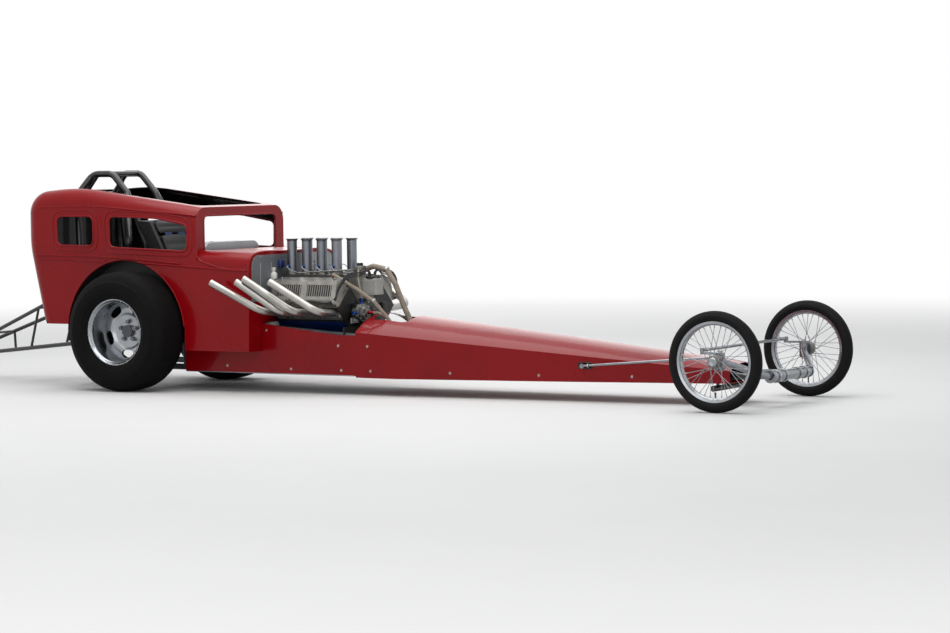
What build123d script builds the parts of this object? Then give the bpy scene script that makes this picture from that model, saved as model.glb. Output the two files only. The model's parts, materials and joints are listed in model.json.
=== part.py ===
"""Front-engined drag racing car with a closed altered body, modelled in millimetres.

+X is forward, +Y is the car's left and +Z is up. The origin is on the ground under the middle
of the car's length. Tables give X from the rear axle, so the helper planes add REAR_AXLE_X.
"""
import os
from math import atan2, cos, degrees, radians, sin, tan

from build123d import *

os.makedirs("parts", exist_ok=True)

# Driving dimensions of the running gear
WHEELBASE = 4146.0
FRONT_TYRE_RADIUS = 284.0
REAR_TYRE_RADIUS = 375.0
FRONT_HALF_TRACK = 624.0
REAR_HALF_TRACK = 545.0
FRONT_TYRE_WIDTH = 60.0
REAR_TYRE_SECTION = 310.0
REAR_TREAD_WIDTH = 206.0
WHEELIE_REACH = 1880.0
WHEELIE_WHEEL_RADIUS = 70.0
WHEELIE_AXLE_HEIGHT = 130.0
REAR_AXLE_X = -(WHEELBASE + FRONT_TYRE_RADIUS - WHEELIE_REACH - WHEELIE_WHEEL_RADIUS) / 2
RUNNING_CLEARANCE = 0.08
SIDE_GAP = 0.5
SEAT_GAP = 0.3
SWEEP = 1500.0

# Driving dimensions of the cab body
BODY_HALF_WIDTH = 480.0
BODY_WALL = 8.0
SKIRT_HEIGHT = 411.0
CAB_REAR_X = -856.0
CAB_REAR_FOOT_X = -745.0
ROOF_TOP = 1280.0
ROOF_FRONT_TOP = 1150.0
ROOF_EDGE_RADIUS = 95.0
ROOF_PEAK_X = -480.0
ROOF_REAR_TOP = 1248.0
TAIL_BULGE_HEIGHT = 900.0
ROOFLINE_BENDS = (600.0, 150.0, 1400.0)
WINDSCREEN_X = 505.0
COWL_REAR_TOP = 885.0
COWL_FRONT_TOP = 868.0
COWL_EDGE_RADIUS = 85.0
FIREWALL_X = 905.0
FIREWALL_SETBACK = 14.0
FRONT_SKIRT_X = 405.0
FRONT_SKIRT_HEIGHT = 258.0
DRIP_REAR_HEIGHT = 1167.0
DRIP_FRONT_HEIGHT = 1078.0
BACK_SPLIT_X = -720.0
POST_HALF_GAP = 395.0
BELT_REAR_HEIGHT = 803.0
BELT_FRONT_HEIGHT = 763.0
ARCH_CENTRE = (-60.0, 360.0)
ARCH_RADIUS = 460.0

# Driving dimensions of the frame, the lower panels and the nose
PANEL_WALL = 4.0
BELLY_HEIGHT = 117.0
BELLY_REAR_X = 300.0
PANEL_Y = 326.0
NOSE_REAR_X = 1575.0
NOSE_TIP_X = 4030.0
LOWER_RAIL_RADIUS = 19.0
UPPER_RAIL_RADIUS = 16.0
FRAME_TUBE_RADIUS = 11.0
LOWER_RAIL_Z = BELLY_HEIGHT + PANEL_WALL + LOWER_RAIL_RADIUS
CAGE_RADIUS = 21.0
CAGE_TOP = 1364.0

# Driving dimensions of the engine
CRANK_HEIGHT = 335.0
ENGINE_REAR_X = 940.0
ENGINE_LENGTH = 500.0
BANK_ANGLE = 45.0
DECK_DISTANCE = 240.0
HEAD_HEIGHT = 115.0
HEAD_WIDTH = 185.0
STACK_PITCH = 110.7
STACK_FIRST_X = 957.0
STACK_ROW_Y = 86.5
STACK_RADIUS = 31.0
STACK_LIP_RADIUS = 42.0
STACK_WALL = 3.0
STACK_FOOT = 748.0
STACK_TOP = 946.0
HEADER_RADIUS = 22.5
HEADER_WALL = 2.0

# Driving dimensions of the front end
CROSS_TUBE_X = 4310.0
CROSS_TUBE_HEIGHT = 178.0
CROSS_TUBE_RADIUS = 31.5
CROSS_TUBE_HALF_LENGTH = 250.0
KINGPIN_HALF_TRACK = 556.0
KINGPIN_RADIUS = 14.0
BOSS_RADIUS = 24.0
BOSS_HEIGHT = 70.0
YOKE_PLATE = 12.0
SPINDLE_RADIUS = 12.0
STEERING_ARM = 112.0
TIE_ROD_HALF = KINGPIN_HALF_TRACK
DRAG_LINK_FRONT = (4098.0, -472.0, 300.0)
DRAG_LINK_REAR = (3122.0, -288.0, 214.0)
LINK_RADIUS = 7.0
BALL_PIN_RADIUS = 6.0
SIDES = (("right", -1), ("left", 1))


def at(x, y, z):
    """Return a point of the car, with x counted from the rear axle."""
    return Vector(REAR_AXLE_X + x, y, z)


def side_plane(y=0.0):
    """Return an upright plane along the car: local X is forward, local Y is up."""
    return Plane(origin=at(0, y, 0), x_dir=(1, 0, 0), z_dir=(0, -1, 0))


def cross_plane(x):
    """Return an upright plane across the car: local X is to the left, local Y is up."""
    return Plane(origin=at(x, 0, 0), x_dir=(0, 1, 0), z_dir=(1, 0, 0))


def level_plane(z):
    """Return a level plane: local X is forward, local Y is to the left."""
    return Plane(origin=at(0, 0, z), x_dir=(1, 0, 0), z_dir=(0, 0, 1))


def wheel_plane(x, z):
    """Return the plane of a wheel's half section: local X runs along the axle, local Y outwards."""
    return Plane(origin=at(x, 0, z), x_dir=(0, 1, 0), z_dir=(1, 0, 0))


def wheel_axis(x, z):
    """Return the axis that a wheel turns on."""
    return Axis(at(x, 0, z), (0, 1, 0))


def rod(start, end, radius, mode=Mode.ADD):
    """Add a straight round bar between two points to the piece being built."""
    first = at(*start)
    run = at(*end) - first
    with BuildSketch(Plane(origin=first, z_dir=run)) as section:
        Circle(radius)
    extrude(section.sketch, amount=run.length, mode=mode)


def bent_tube(points, bend, radius, mode=Mode.ADD):
    """Add a round bar that follows straight runs joined by tangent arcs."""
    with BuildLine() as path:
        FilletPolyline(*[at(*point) for point in points], radius=bend)
    with BuildSketch(Plane(origin=path.line @ 0, z_dir=path.line % 0)) as section:
        Circle(radius)
    sweep(section.sketch, path=path.line, mode=mode)


def save(piece, label):
    """Label a finished piece and write it."""
    piece.part.label = label
    export_step(piece.part, f"parts/{label}.step")


# Cab body: one side outline gives the outer form and, set in by the wall, the inside
def cab_outline():
    """Draw the side outline of the cab from the tail round the roof to the cowl and skirt."""
    with BuildLine() as outline:
        roofline = FilletPolyline(
            (CAB_REAR_FOOT_X, SKIRT_HEIGHT),
            (CAB_REAR_X, TAIL_BULGE_HEIGHT),
            (CAB_REAR_X, ROOF_REAR_TOP),
            (ROOF_PEAK_X, ROOF_TOP),
            (WINDSCREEN_X, ROOF_FRONT_TOP),
            radius=ROOFLINE_BENDS,
        )
        Polyline(
            roofline @ 1,
            (WINDSCREEN_X, COWL_REAR_TOP),
            (FIREWALL_X, COWL_FRONT_TOP),
            (FIREWALL_X - FIREWALL_SETBACK, FRONT_SKIRT_HEIGHT),
            (FRONT_SKIRT_X, FRONT_SKIRT_HEIGHT),
            (FRONT_SKIRT_X, SKIRT_HEIGHT),
            roofline @ 0,
        )
    make_face(outline.edges())


EDGE_SEARCH = 30.0
ON_PLANE = 0.01


def round_long_edges(piece, half_width, inset):
    """Round the roof, tail and cowl edges that run along both sides of the cab."""
    cowl_middle = REAR_AXLE_X + (WINDSCREEN_X + FIREWALL_X) / 2
    on_sides = piece.edges().filter_by(lambda edge: abs(abs(edge.center().Y) - half_width) < ON_PLANE)
    cowl_edges = on_sides.filter_by(lambda edge: abs(edge.center().X - cowl_middle) < EDGE_SEARCH
                                    and edge.center().Z > COWL_FRONT_TOP - EDGE_SEARCH)
    roof_edges = on_sides.filter_by(lambda edge: edge.center().X < REAR_AXLE_X + WINDSCREEN_X - EDGE_SEARCH
                                    and (edge.center().Z > ROOF_FRONT_TOP - EDGE_SEARCH
                                         or edge.center().X < REAR_AXLE_X + CAB_REAR_FOOT_X))
    fillet(cowl_edges, COWL_EDGE_RADIUS - inset)
    fillet(roof_edges, ROOF_EDGE_RADIUS - inset)


with BuildPart() as cab_outer:
    with BuildSketch(side_plane()):
        cab_outline()
    extrude(amount=BODY_HALF_WIDTH, both=True)
    round_long_edges(cab_outer, BODY_HALF_WIDTH, 0)

# The inside is open below: the floor skin is cut away up to just above the skirts
FLOOR_CUT = BODY_WALL + 6.0
FLOOR_REAR_X = CAB_REAR_FOOT_X + BODY_WALL
FLOOR_FRONT_X = FIREWALL_X - FIREWALL_SETBACK - BODY_WALL
with BuildPart() as cab_inner:
    with BuildSketch(side_plane()):
        cab_outline()
        offset(amount=-BODY_WALL, kind=Kind.INTERSECTION, mode=Mode.REPLACE)
    extrude(amount=BODY_HALF_WIDTH - BODY_WALL, both=True)
    round_long_edges(cab_inner, BODY_HALF_WIDTH - BODY_WALL, BODY_WALL)
    with BuildSketch(side_plane()):
        with BuildLine():
            Polyline((FLOOR_REAR_X, 0), (FLOOR_REAR_X, SKIRT_HEIGHT + FLOOR_CUT),
                     (FRONT_SKIRT_X + BODY_WALL, SKIRT_HEIGHT + FLOOR_CUT),
                     (FRONT_SKIRT_X + BODY_WALL, FRONT_SKIRT_HEIGHT + FLOOR_CUT),
                     (FLOOR_FRONT_X, FRONT_SKIRT_HEIGHT + FLOOR_CUT), (FLOOR_FRONT_X, 0), close=True)
        make_face()
    extrude(amount=BODY_HALF_WIDTH - BODY_WALL, both=True)

# Window openings of one side as corner points, X and Z, with one corner radius
WINDOWS = (
    ((-587, 917), (-587, 1093), (-307, 1093), (-305, 914)),
    ((-168, 905), (-168, 1092), (180, 1080), (432, 1038), (430, 882)),
)
WINDOW_CORNER_RADIUS = 28.0
ROOF_HOLE_REAR_X = -700.0
ROOF_HOLE_FRONT_X = 440.0
ROOF_HOLE_HALF_WIDTH = 365.0
WINDSCREEN_FOOT = 862.0
WINDSCREEN_HEAD = 1098.0
WINDSCREEN_CORNER_RADIUS = 30.0
WINDSCREEN_CUT = 60.0
ROOF_HOLE_CORNER_RADIUS = 60.0
ROOF_CUT_HEIGHT = 1090.0
FULL_WIDTH = BODY_HALF_WIDTH + 50.0

with BuildPart() as cab_shell:
    add(cab_outer.part)
    add(cab_inner.part, mode=Mode.SUBTRACT)
    with BuildSketch(side_plane()):
        for corners in WINDOWS:
            with BuildSketch(mode=Mode.PRIVATE) as window:
                with BuildLine():
                    Polyline(*corners, close=True)
                make_face()
                fillet(window.vertices(), WINDOW_CORNER_RADIUS)
            add(window.sketch)
        with Locations(ARCH_CENTRE):
            Circle(ARCH_RADIUS)
    extrude(amount=FULL_WIDTH, both=True, mode=Mode.SUBTRACT)
    with BuildSketch(level_plane(ROOF_CUT_HEIGHT)):
        with Locations(((ROOF_HOLE_REAR_X + ROOF_HOLE_FRONT_X) / 2, 0)):
            RectangleRounded(ROOF_HOLE_FRONT_X - ROOF_HOLE_REAR_X, 2 * ROOF_HOLE_HALF_WIDTH,
                             ROOF_HOLE_CORNER_RADIUS)
    extrude(amount=SWEEP, mode=Mode.SUBTRACT)
    with BuildSketch(cross_plane(WINDSCREEN_X)):
        with Locations((0, (WINDSCREEN_FOOT + WINDSCREEN_HEAD) / 2)):
            RectangleRounded(2 * POST_HALF_GAP, WINDSCREEN_HEAD - WINDSCREEN_FOOT, WINDSCREEN_CORNER_RADIUS)
    extrude(amount=WINDSCREEN_CUT, both=True, mode=Mode.SUBTRACT)

# Regions of the cab seen from the side: the real panel joints run along these lines
REGION_REAR_X = -1000.0
REGION_FRONT_X = 1000.0
DRIP_LINE = ((REGION_REAR_X, DRIP_REAR_HEIGHT), (REGION_FRONT_X, DRIP_FRONT_HEIGHT))
UPPER_LIMIT = 1500.0
LOWER_LIMIT = 100.0
BELT_REAR = (WINDSCREEN_X, BELT_REAR_HEIGHT)
FIREWALL_REAR_X = FIREWALL_X - FIREWALL_SETBACK - 2 * BODY_WALL
BELT_FRONT = (FIREWALL_REAR_X, BELT_FRONT_HEIGHT)


def drip_height(x):
    """Return the height of the roof joint above the ground at a place along the cab."""
    (x_rear, z_rear), (x_front, z_front) = DRIP_LINE
    return z_rear + (z_front - z_rear) * (x - x_rear) / (x_front - x_rear)


def keep_region(points, y_low, y_high):
    """Keep what of the piece lies inside a side-view outline and between two planes along the car."""
    with BuildSketch(side_plane(y_high)) as region:
        with BuildLine():
            Polyline(*points, close=True)
        make_face()
    extrude(region.sketch, amount=y_high - y_low, mode=Mode.INTERSECT)


with BuildPart() as roof_panel:
    add(cab_shell.part)
    keep_region([*DRIP_LINE, (REGION_FRONT_X, UPPER_LIMIT), (REGION_REAR_X, UPPER_LIMIT)],
                -FULL_WIDTH, FULL_WIDTH)

with BuildPart() as body_back:
    add(cab_shell.part)
    keep_region([(REGION_REAR_X, LOWER_LIMIT), (BACK_SPLIT_X, LOWER_LIMIT),
                 (BACK_SPLIT_X, drip_height(BACK_SPLIT_X)), (REGION_REAR_X, drip_height(REGION_REAR_X))],
                -FULL_WIDTH, FULL_WIDTH)

with BuildPart() as cowl:
    add(cab_shell.part)
    keep_region([BELT_REAR, BELT_FRONT, (FIREWALL_REAR_X, UPPER_LIMIT), (WINDSCREEN_X, UPPER_LIMIT)],
                -FULL_WIDTH, FULL_WIDTH)

with BuildPart() as firewall:
    add(cab_shell.part)
    keep_region([(FIREWALL_REAR_X, LOWER_LIMIT), (REGION_FRONT_X, LOWER_LIMIT),
                 (REGION_FRONT_X, UPPER_LIMIT), (FIREWALL_REAR_X, UPPER_LIMIT)],
                -FULL_WIDTH, FULL_WIDTH)

SIDE_REGION = [
    (BACK_SPLIT_X, LOWER_LIMIT), (FIREWALL_REAR_X, LOWER_LIMIT), BELT_FRONT, BELT_REAR,
    (WINDSCREEN_X, drip_height(WINDSCREEN_X)), (BACK_SPLIT_X, drip_height(BACK_SPLIT_X)),
]
for side_name, side in SIDES:
    with BuildPart() as body_side:
        add(cab_shell.part)
        edges_y = sorted((side * (POST_HALF_GAP - BODY_WALL), side * FULL_WIDTH))
        keep_region(SIDE_REGION, edges_y[0], edges_y[1])
    save(body_side, f"body_side_{side_name}")
save(roof_panel, "roof_panel")
save(cowl, "cowl")

# Inner wheel tubs, one over each rear tyre
TUB_INNER_Y = 345.0
TUB_BOTTOM = 300.0
TUB_SLOT_WIDTH = 130.0
TUB_SLOT_TOP = 450.0
with BuildPart() as wheel_tubs:
    for side_name, side in SIDES:
        with BuildSketch(side_plane(side * TUB_INNER_Y)):
            with Locations(ARCH_CENTRE):
                Circle(ARCH_RADIUS + PANEL_WALL)
        extrude(amount=-side * (BODY_HALF_WIDTH - BODY_WALL - TUB_INNER_Y))
    for side_name, side in SIDES:
        with BuildSketch(side_plane(side * (TUB_INNER_Y + PANEL_WALL))):
            with Locations(ARCH_CENTRE):
                Circle(ARCH_RADIUS)
        extrude(amount=-side * BODY_HALF_WIDTH, mode=Mode.SUBTRACT)
    with BuildSketch(side_plane()):
        with Locations((ARCH_CENTRE[0], TUB_BOTTOM)):
            Rectangle(3 * ARCH_RADIUS, 2 * ARCH_RADIUS, align=(Align.CENTER, Align.MAX))
        Rectangle(TUB_SLOT_WIDTH, TUB_SLOT_TOP, align=(Align.CENTER, Align.MIN))
    extrude(amount=FULL_WIDTH, both=True, mode=Mode.SUBTRACT)
save(wheel_tubs, "wheel_tubs")

# Dash panel sizes
DASH_REAR_X = 315.0
DASH_LENGTH = 125.0
DASH_TOP = 925.0
DASH_FOOT = 778.0
DASH_HALF_WIDTH = 300.0

# Frame: side rails as runs of points with columns X, half width, Z
RAIL_REAR_X = -560.0
RAIL_REAR_Y = 270.0
UPPER_RAIL_REAR_Z = 454.0
UPPER_RAIL_RUN = ((RAIL_REAR_X, RAIL_REAR_Y, UPPER_RAIL_REAR_Z), (880, 285, 405), (1600, 262, 352),
                  (3960, 128, 206))
LOWER_RAIL_RUN = ((RAIL_REAR_X, RAIL_REAR_Y, LOWER_RAIL_Z), (1600, 262, LOWER_RAIL_Z),
                  (3960, 128, LOWER_RAIL_Z + 22), (CROSS_TUBE_X, 128, CROSS_TUBE_HEIGHT))
UPRIGHT_X = (RAIL_REAR_X, 250, 880, 1560, 2150, 2800, 3450)
UPPER_CROSS_X = (RAIL_REAR_X, 1560, 2800)
LOWER_CROSS_X = (RAIL_REAR_X, 250, 880, 1560, 1830, 2150, 2800, 3450, 3960)
OUTRIGGER_X = (-540, 600)
RAIL_BEND_RADIUS = 300.0


def run_point(run, x):
    """Return the half width and height of a rail at a place along the car."""
    for (x0, y0, z0), (x1, y1, z1) in zip(run, run[1:]):
        if x0 <= x <= x1:
            share = (x - x0) / (x1 - x0)
            return y0 + (y1 - y0) * share, z0 + (z1 - z0) * share
    raise ValueError(f"no rail at {x}")


def add_rails(extra=0.0):
    """Add the four bent rails, swollen by an extra radius where other tubes are cut to fit them."""
    for side_name, side in SIDES:
        for run, radius in ((UPPER_RAIL_RUN, UPPER_RAIL_RADIUS), (LOWER_RAIL_RUN, LOWER_RAIL_RADIUS)):
            bent_tube([(x, side * y, z) for x, y, z in run], RAIL_BEND_RADIUS, radius + extra)


with BuildPart() as cross_tube_space:
    rod((CROSS_TUBE_X, -CROSS_TUBE_HALF_LENGTH, CROSS_TUBE_HEIGHT),
        (CROSS_TUBE_X, CROSS_TUBE_HALF_LENGTH, CROSS_TUBE_HEIGHT), CROSS_TUBE_RADIUS + SEAT_GAP)

# Each rail is made up of straight lengths that butt together at its bends
RAIL_SPLICE_X = (1600.0, 3972.0)
with BuildPart() as frame_rails:
    add_rails()
    add(cross_tube_space.part, mode=Mode.SUBTRACT)
    for x in RAIL_SPLICE_X:
        with BuildSketch(cross_plane(x)):
            Rectangle(2 * BODY_HALF_WIDTH, 2 * BODY_HALF_WIDTH)
        extrude(amount=SEAT_GAP / 2, both=True, mode=Mode.SUBTRACT)
save(frame_rails, "frame_rails")

with BuildPart() as rail_space:
    add_rails(SEAT_GAP)

# Uprights, cross tubes, outriggers and axle hangers, each cut to fit the rails
HANGER_THICKNESS = 12.0
HANGER_HALF_FOOT = 90.0
HANGER_HALF_TOP = 60.0
AXLE_TUBE_RADIUS = 38.0
AXLE_TUBE_END_Y = 420.0
with BuildPart() as frame_tubes:
    for side_name, side in SIDES:
        for x in UPRIGHT_X:
            y_low, z_low = run_point(LOWER_RAIL_RUN, x)
            y_high, z_high = run_point(UPPER_RAIL_RUN, x)
            rod((x, side * y_low, z_low), (x, side * y_high, z_high), FRAME_TUBE_RADIUS)
        y_hanger, z_hanger = run_point(UPPER_RAIL_RUN, 0)
        with BuildSketch(side_plane(side * (y_hanger - HANGER_THICKNESS / 2))):
            with BuildLine():
                Polyline((-HANGER_HALF_FOOT, LOWER_RAIL_Z), (HANGER_HALF_FOOT, LOWER_RAIL_Z),
                         (HANGER_HALF_TOP, z_hanger), (-HANGER_HALF_TOP, z_hanger), close=True)
            make_face()
        extrude(amount=-side * HANGER_THICKNESS)
    for run, stations in ((UPPER_RAIL_RUN, UPPER_CROSS_X), (LOWER_RAIL_RUN, LOWER_CROSS_X)):
        for x in stations:
            y_rail, z_rail = run_point(run, x)
            rod((x, -y_rail, z_rail), (x, y_rail, z_rail), FRAME_TUBE_RADIUS)
    for x in OUTRIGGER_X:
        reach = BODY_HALF_WIDTH - BODY_WALL - SEAT_GAP
        height = run_point(UPPER_RAIL_RUN, x)[1] + UPPER_RAIL_RADIUS + FRAME_TUBE_RADIUS
        rod((x, -reach, height), (x, reach, height), FRAME_TUBE_RADIUS)
    rod((0, -AXLE_TUBE_END_Y, REAR_TYRE_RADIUS), (0, AXLE_TUBE_END_Y, REAR_TYRE_RADIUS),
        AXLE_TUBE_RADIUS + SEAT_GAP, mode=Mode.SUBTRACT)
    add(rail_space.part, mode=Mode.SUBTRACT)
save(frame_tubes, "frame_tubes")

# The firewall is notched over the frame and the gearbox
NOTCH_FOOT = 232.0
NOTCH_TOP = 432.0
NOTCH_REACH = 85.0
with BuildPart() as firewall_notched:
    add(firewall.part)
    with BuildSketch(cross_plane(FIREWALL_X)):
        with Locations((0, NOTCH_FOOT)):
            Rectangle(2 * (PANEL_Y + PANEL_WALL + SIDE_GAP), NOTCH_TOP - NOTCH_FOOT,
                      align=(Align.CENTER, Align.MIN))
    extrude(amount=NOTCH_REACH, both=True, mode=Mode.SUBTRACT)
save(firewall_notched, "firewall")

# Steering wheel and column, leaning towards the driver
STEERING_CENTRE = (225.0, 0.0, 790.0)
STEERING_LEAN = 22.0
STEERING_RADIUS = 135.0
COLUMN_RADIUS = 10.0
COLUMN_LENGTH = 640.0


def column_point(distance):
    """Return the point of the steering column at a distance ahead of the wheel."""
    x, y, z = STEERING_CENTRE
    lean = radians(STEERING_LEAN)
    return (x + distance * cos(lean), y, z - distance * sin(lean))


# Roll cage: two side loops, a main hoop, their cross bars and the dash bar with the column's bearing
DASH_BAR_X = 378.0
DASH_BAR_Z = 800.0
DASH_BRACE_START = (12.0, 225.0, 625.0)
BEARING_RADIUS = 20.0
BEARING_HALF_LENGTH = 16.0
CAGE_HALF_TOP = 150.0
CAGE_CROSS_RADIUS = 17.0
CAGE_BEND_RADIUS = 70.0
CAGE_SHOULDER = (-622.0, 226.0, 1230.0)
LOOP_REAR_FOOT_Z = 420.0
LOOP_FRONT_FOOT_X = 110.0
HOOP_FOOT_X = -250.0

# Bent bars of the left side as runs of points with columns X, half width, Z
SIDE_LOOP = (
    (RAIL_REAR_X, RAIL_REAR_Y, LOOP_REAR_FOOT_Z),
    CAGE_SHOULDER,
    (-548.0, CAGE_HALF_TOP, CAGE_TOP),
    (-392.0, CAGE_HALF_TOP, CAGE_TOP),
    (-275.0, CAGE_HALF_TOP, 1240.0),
    (-128.0, CAGE_HALF_TOP, 905.0),
    (LOOP_FRONT_FOOT_X, *run_point(UPPER_RAIL_RUN, LOOP_FRONT_FOOT_X)),
)
MAIN_HOOP = (
    (HOOP_FOOT_X, *run_point(UPPER_RAIL_RUN, HOOP_FOOT_X)),
    (-168.0, 285.0, 940.0),
    (-275.0, CAGE_HALF_TOP, 1240.0),
)

# Straight bars across the cage, one row a bar: X, half width, Z
CAGE_CROSS_BARS = ((-505.0, CAGE_HALF_TOP, CAGE_TOP), (-415.0, CAGE_HALF_TOP, CAGE_TOP), CAGE_SHOULDER,
                   (-208.0, 279.0, 700.0))
TOP_BRACE = ((CAGE_SHOULDER[0], CAGE_HALF_TOP, CAGE_SHOULDER[2]), (-512.0, CAGE_HALF_TOP, CAGE_TOP - 4.0))
TOP_BRACE_RADIUS = 15.0


def on_side(point, side):
    """Return a left-hand point moved to the given side of the car."""
    return (point[0], side * point[1], point[2])


def add_loops(extra=0.0):
    """Add both side loops of the cage, swollen by an extra radius where other bars are cut to fit them."""
    for side_name, side in SIDES:
        bent_tube([on_side(point, side) for point in SIDE_LOOP], CAGE_BEND_RADIUS, CAGE_RADIUS + extra)


with BuildPart() as loop_space:
    add_loops(SEAT_GAP)

with BuildPart() as cage_bars:
    for side_name, side in SIDES:
        bent_tube([on_side(point, side) for point in MAIN_HOOP], CAGE_BEND_RADIUS, CAGE_RADIUS)
        rod(on_side(TOP_BRACE[0], side), on_side(TOP_BRACE[1], side), TOP_BRACE_RADIUS)
    for bar in CAGE_CROSS_BARS:
        rod(on_side(bar, -1), bar, CAGE_CROSS_RADIUS)
    reach = DASH_HALF_WIDTH - PANEL_WALL - SEAT_GAP
    rod((DASH_BAR_X, -reach, DASH_BAR_Z), (DASH_BAR_X, reach, DASH_BAR_Z), UPPER_RAIL_RADIUS)
    for side_name, side in SIDES:
        brace_end = (DASH_BAR_X, DASH_BRACE_START[1], DASH_BAR_Z)
        rod(on_side(DASH_BRACE_START, side), on_side(brace_end, side), FRAME_TUBE_RADIUS)
    bearing_reach = (DASH_BAR_X - STEERING_CENTRE[0]) / cos(radians(STEERING_LEAN))
    rod((DASH_BAR_X, 0, DASH_BAR_Z), column_point(bearing_reach), FRAME_TUBE_RADIUS)
    rod(column_point(bearing_reach - BEARING_HALF_LENGTH), column_point(bearing_reach + BEARING_HALF_LENGTH),
        BEARING_RADIUS)
    rod(column_point(0), column_point(COLUMN_LENGTH), COLUMN_RADIUS + RUNNING_CLEARANCE, mode=Mode.SUBTRACT)
    add(loop_space.part, mode=Mode.SUBTRACT)

with BuildPart() as roll_cage:
    add_loops()
    add(cage_bars.part)
    add(rail_space.part, mode=Mode.SUBTRACT)
    add(frame_tubes.part, mode=Mode.SUBTRACT)
save(roll_cage, "roll_cage")

# Dash panel ahead of the steering wheel, bent over the dash bar
DASH_BEND_RADIUS = 70.0
with BuildPart() as cockpit_cover:
    with BuildSketch(cross_plane(DASH_REAR_X)):
        with Locations((0, DASH_FOOT)):
            Rectangle(2 * DASH_HALF_WIDTH, DASH_TOP - DASH_FOOT, align=(Align.CENTER, Align.MIN))
    extrude(amount=DASH_LENGTH)
    fillet(cockpit_cover.edges().filter_by(Axis.X).group_by(Axis.Z)[-1], DASH_BEND_RADIUS)
    offset(amount=-PANEL_WALL, openings=cockpit_cover.faces().sort_by(Axis.Z)[0])
    add(roll_cage.part, mode=Mode.SUBTRACT)
save(cockpit_cover, "cockpit_cover")

# Gearbox behind the engine and the short shaft to the rear axle
GEARBOX_RADIUS = 95.0
GEARBOX_TAIL_RADIUS = 60.0
GEARBOX_TAPER_X = 760.0
GEARBOX_REAR_X = 640.0
BELLHOUSING_DEPTH = 30.0
SHAFT_RADIUS = 26.0
PINION_END_X = 165.0
SHAFT_END_GAP = 2.5
SHAFT_FRONT = (GEARBOX_TAPER_X, 0, CRANK_HEIGHT)
SHAFT_REAR = (PINION_END_X + SHAFT_END_GAP, 0, REAR_TYRE_RADIUS)
with BuildPart() as gearbox:
    front_x = ENGINE_REAR_X - BELLHOUSING_DEPTH - SEAT_GAP
    with BuildSketch(side_plane()):
        with BuildLine():
            Polyline((front_x, CRANK_HEIGHT), (front_x, CRANK_HEIGHT + GEARBOX_RADIUS),
                     (GEARBOX_TAPER_X, CRANK_HEIGHT + GEARBOX_RADIUS),
                     (GEARBOX_REAR_X, CRANK_HEIGHT + GEARBOX_TAIL_RADIUS), (GEARBOX_REAR_X, CRANK_HEIGHT),
                     close=True)
        make_face()
    revolve(axis=Axis(at(0, 0, CRANK_HEIGHT), (1, 0, 0)))
    rod(SHAFT_FRONT, SHAFT_REAR, SHAFT_RADIUS)
save(gearbox, "gearbox")

# Bucket seat: a thick shell with side bolsters and a tunnel for the shaft
SEAT_HALF_WIDTH = 205.0
SEAT_SIDE_WALL = 30.0
SHAFT_ROOM = 12.0
SEAT_FOOT = LOWER_RAIL_Z + FRAME_TUBE_RADIUS
SEAT_OUTLINE = ((190, SEAT_FOOT), (640, SEAT_FOOT), (680, 240), (680, 330), (460, 290), (330, 300),
                (-60, 1055), (-165, 1062), (120, 560), (188, 400))
SEAT_HOLLOW = ((236, 220), (720, 220), (720, 450), (430, 450), (40, 1120), (-112, 1120), (166, 560),
               (228, 410))
with BuildPart() as seat:
    for corners, half_width, mode in ((SEAT_OUTLINE, SEAT_HALF_WIDTH, Mode.ADD),
                                      (SEAT_HOLLOW, SEAT_HALF_WIDTH - SEAT_SIDE_WALL, Mode.SUBTRACT)):
        with BuildSketch(side_plane()):
            with BuildLine():
                Polyline(*corners, close=True)
            make_face()
        extrude(amount=half_width, both=True, mode=mode)
    rod(SHAFT_FRONT, SHAFT_REAR, SHAFT_RADIUS + SHAFT_ROOM, mode=Mode.SUBTRACT)
save(seat, "seat")

# Belly pan and the side panels that hang on the lower rails
with BuildPart() as belly_pan:
    with BuildSketch(level_plane(BELLY_HEIGHT)):
        with Locations(((BELLY_REAR_X + NOSE_REAR_X) / 2, 0)):
            Rectangle(NOSE_REAR_X - BELLY_REAR_X, 2 * PANEL_Y)
    extrude(amount=PANEL_WALL)
save(belly_pan, "belly_pan")

PANEL_TOP = 428.0
PANEL_FRONT_TOP = 365.0
PANEL_OUTLINE = ((BELLY_REAR_X, BELLY_HEIGHT), (NOSE_REAR_X, BELLY_HEIGHT), (NOSE_REAR_X, PANEL_FRONT_TOP),
                 (1450, PANEL_FRONT_TOP), (875, PANEL_TOP), (BELLY_REAR_X, PANEL_TOP))
with BuildPart() as side_panels:
    for side_name, side in SIDES:
        with BuildSketch(side_plane(side * PANEL_Y)):
            with BuildLine():
                Polyline(*PANEL_OUTLINE, close=True)
            make_face()
        extrude(amount=-side * PANEL_WALL)
    add(frame_tubes.part, mode=Mode.SUBTRACT)
save(side_panels, "side_panels")

# Nose cowl sections: X, half width, bottom, shoulder crease, crown
NOSE_SECTIONS = (
    (NOSE_REAR_X, 330, 108, 384, 488),
    (1705, 328, 107, 375, 487),
    (1840, 325, 106, 364, 473),
    (2880, 266, 115, 286, 367),
    (NOSE_TIP_X, 200, 128, 200, 240),
)


def nose_section(x, half_width, bottom, crease, crown, inset, reach=0.0):
    """Return a cross-section of the nose, set in by its wall: three straight sides and a crown arc."""
    with BuildSketch(cross_plane(x + reach)) as section:
        with BuildLine():
            w = half_width - inset
            Polyline((w, crease), (w, bottom + inset), (-w, bottom + inset), (-w, crease))
            ThreePointArc((-w, crease), (0, crown - inset), (w, crease))
        make_face()
    return section.sketch


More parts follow.
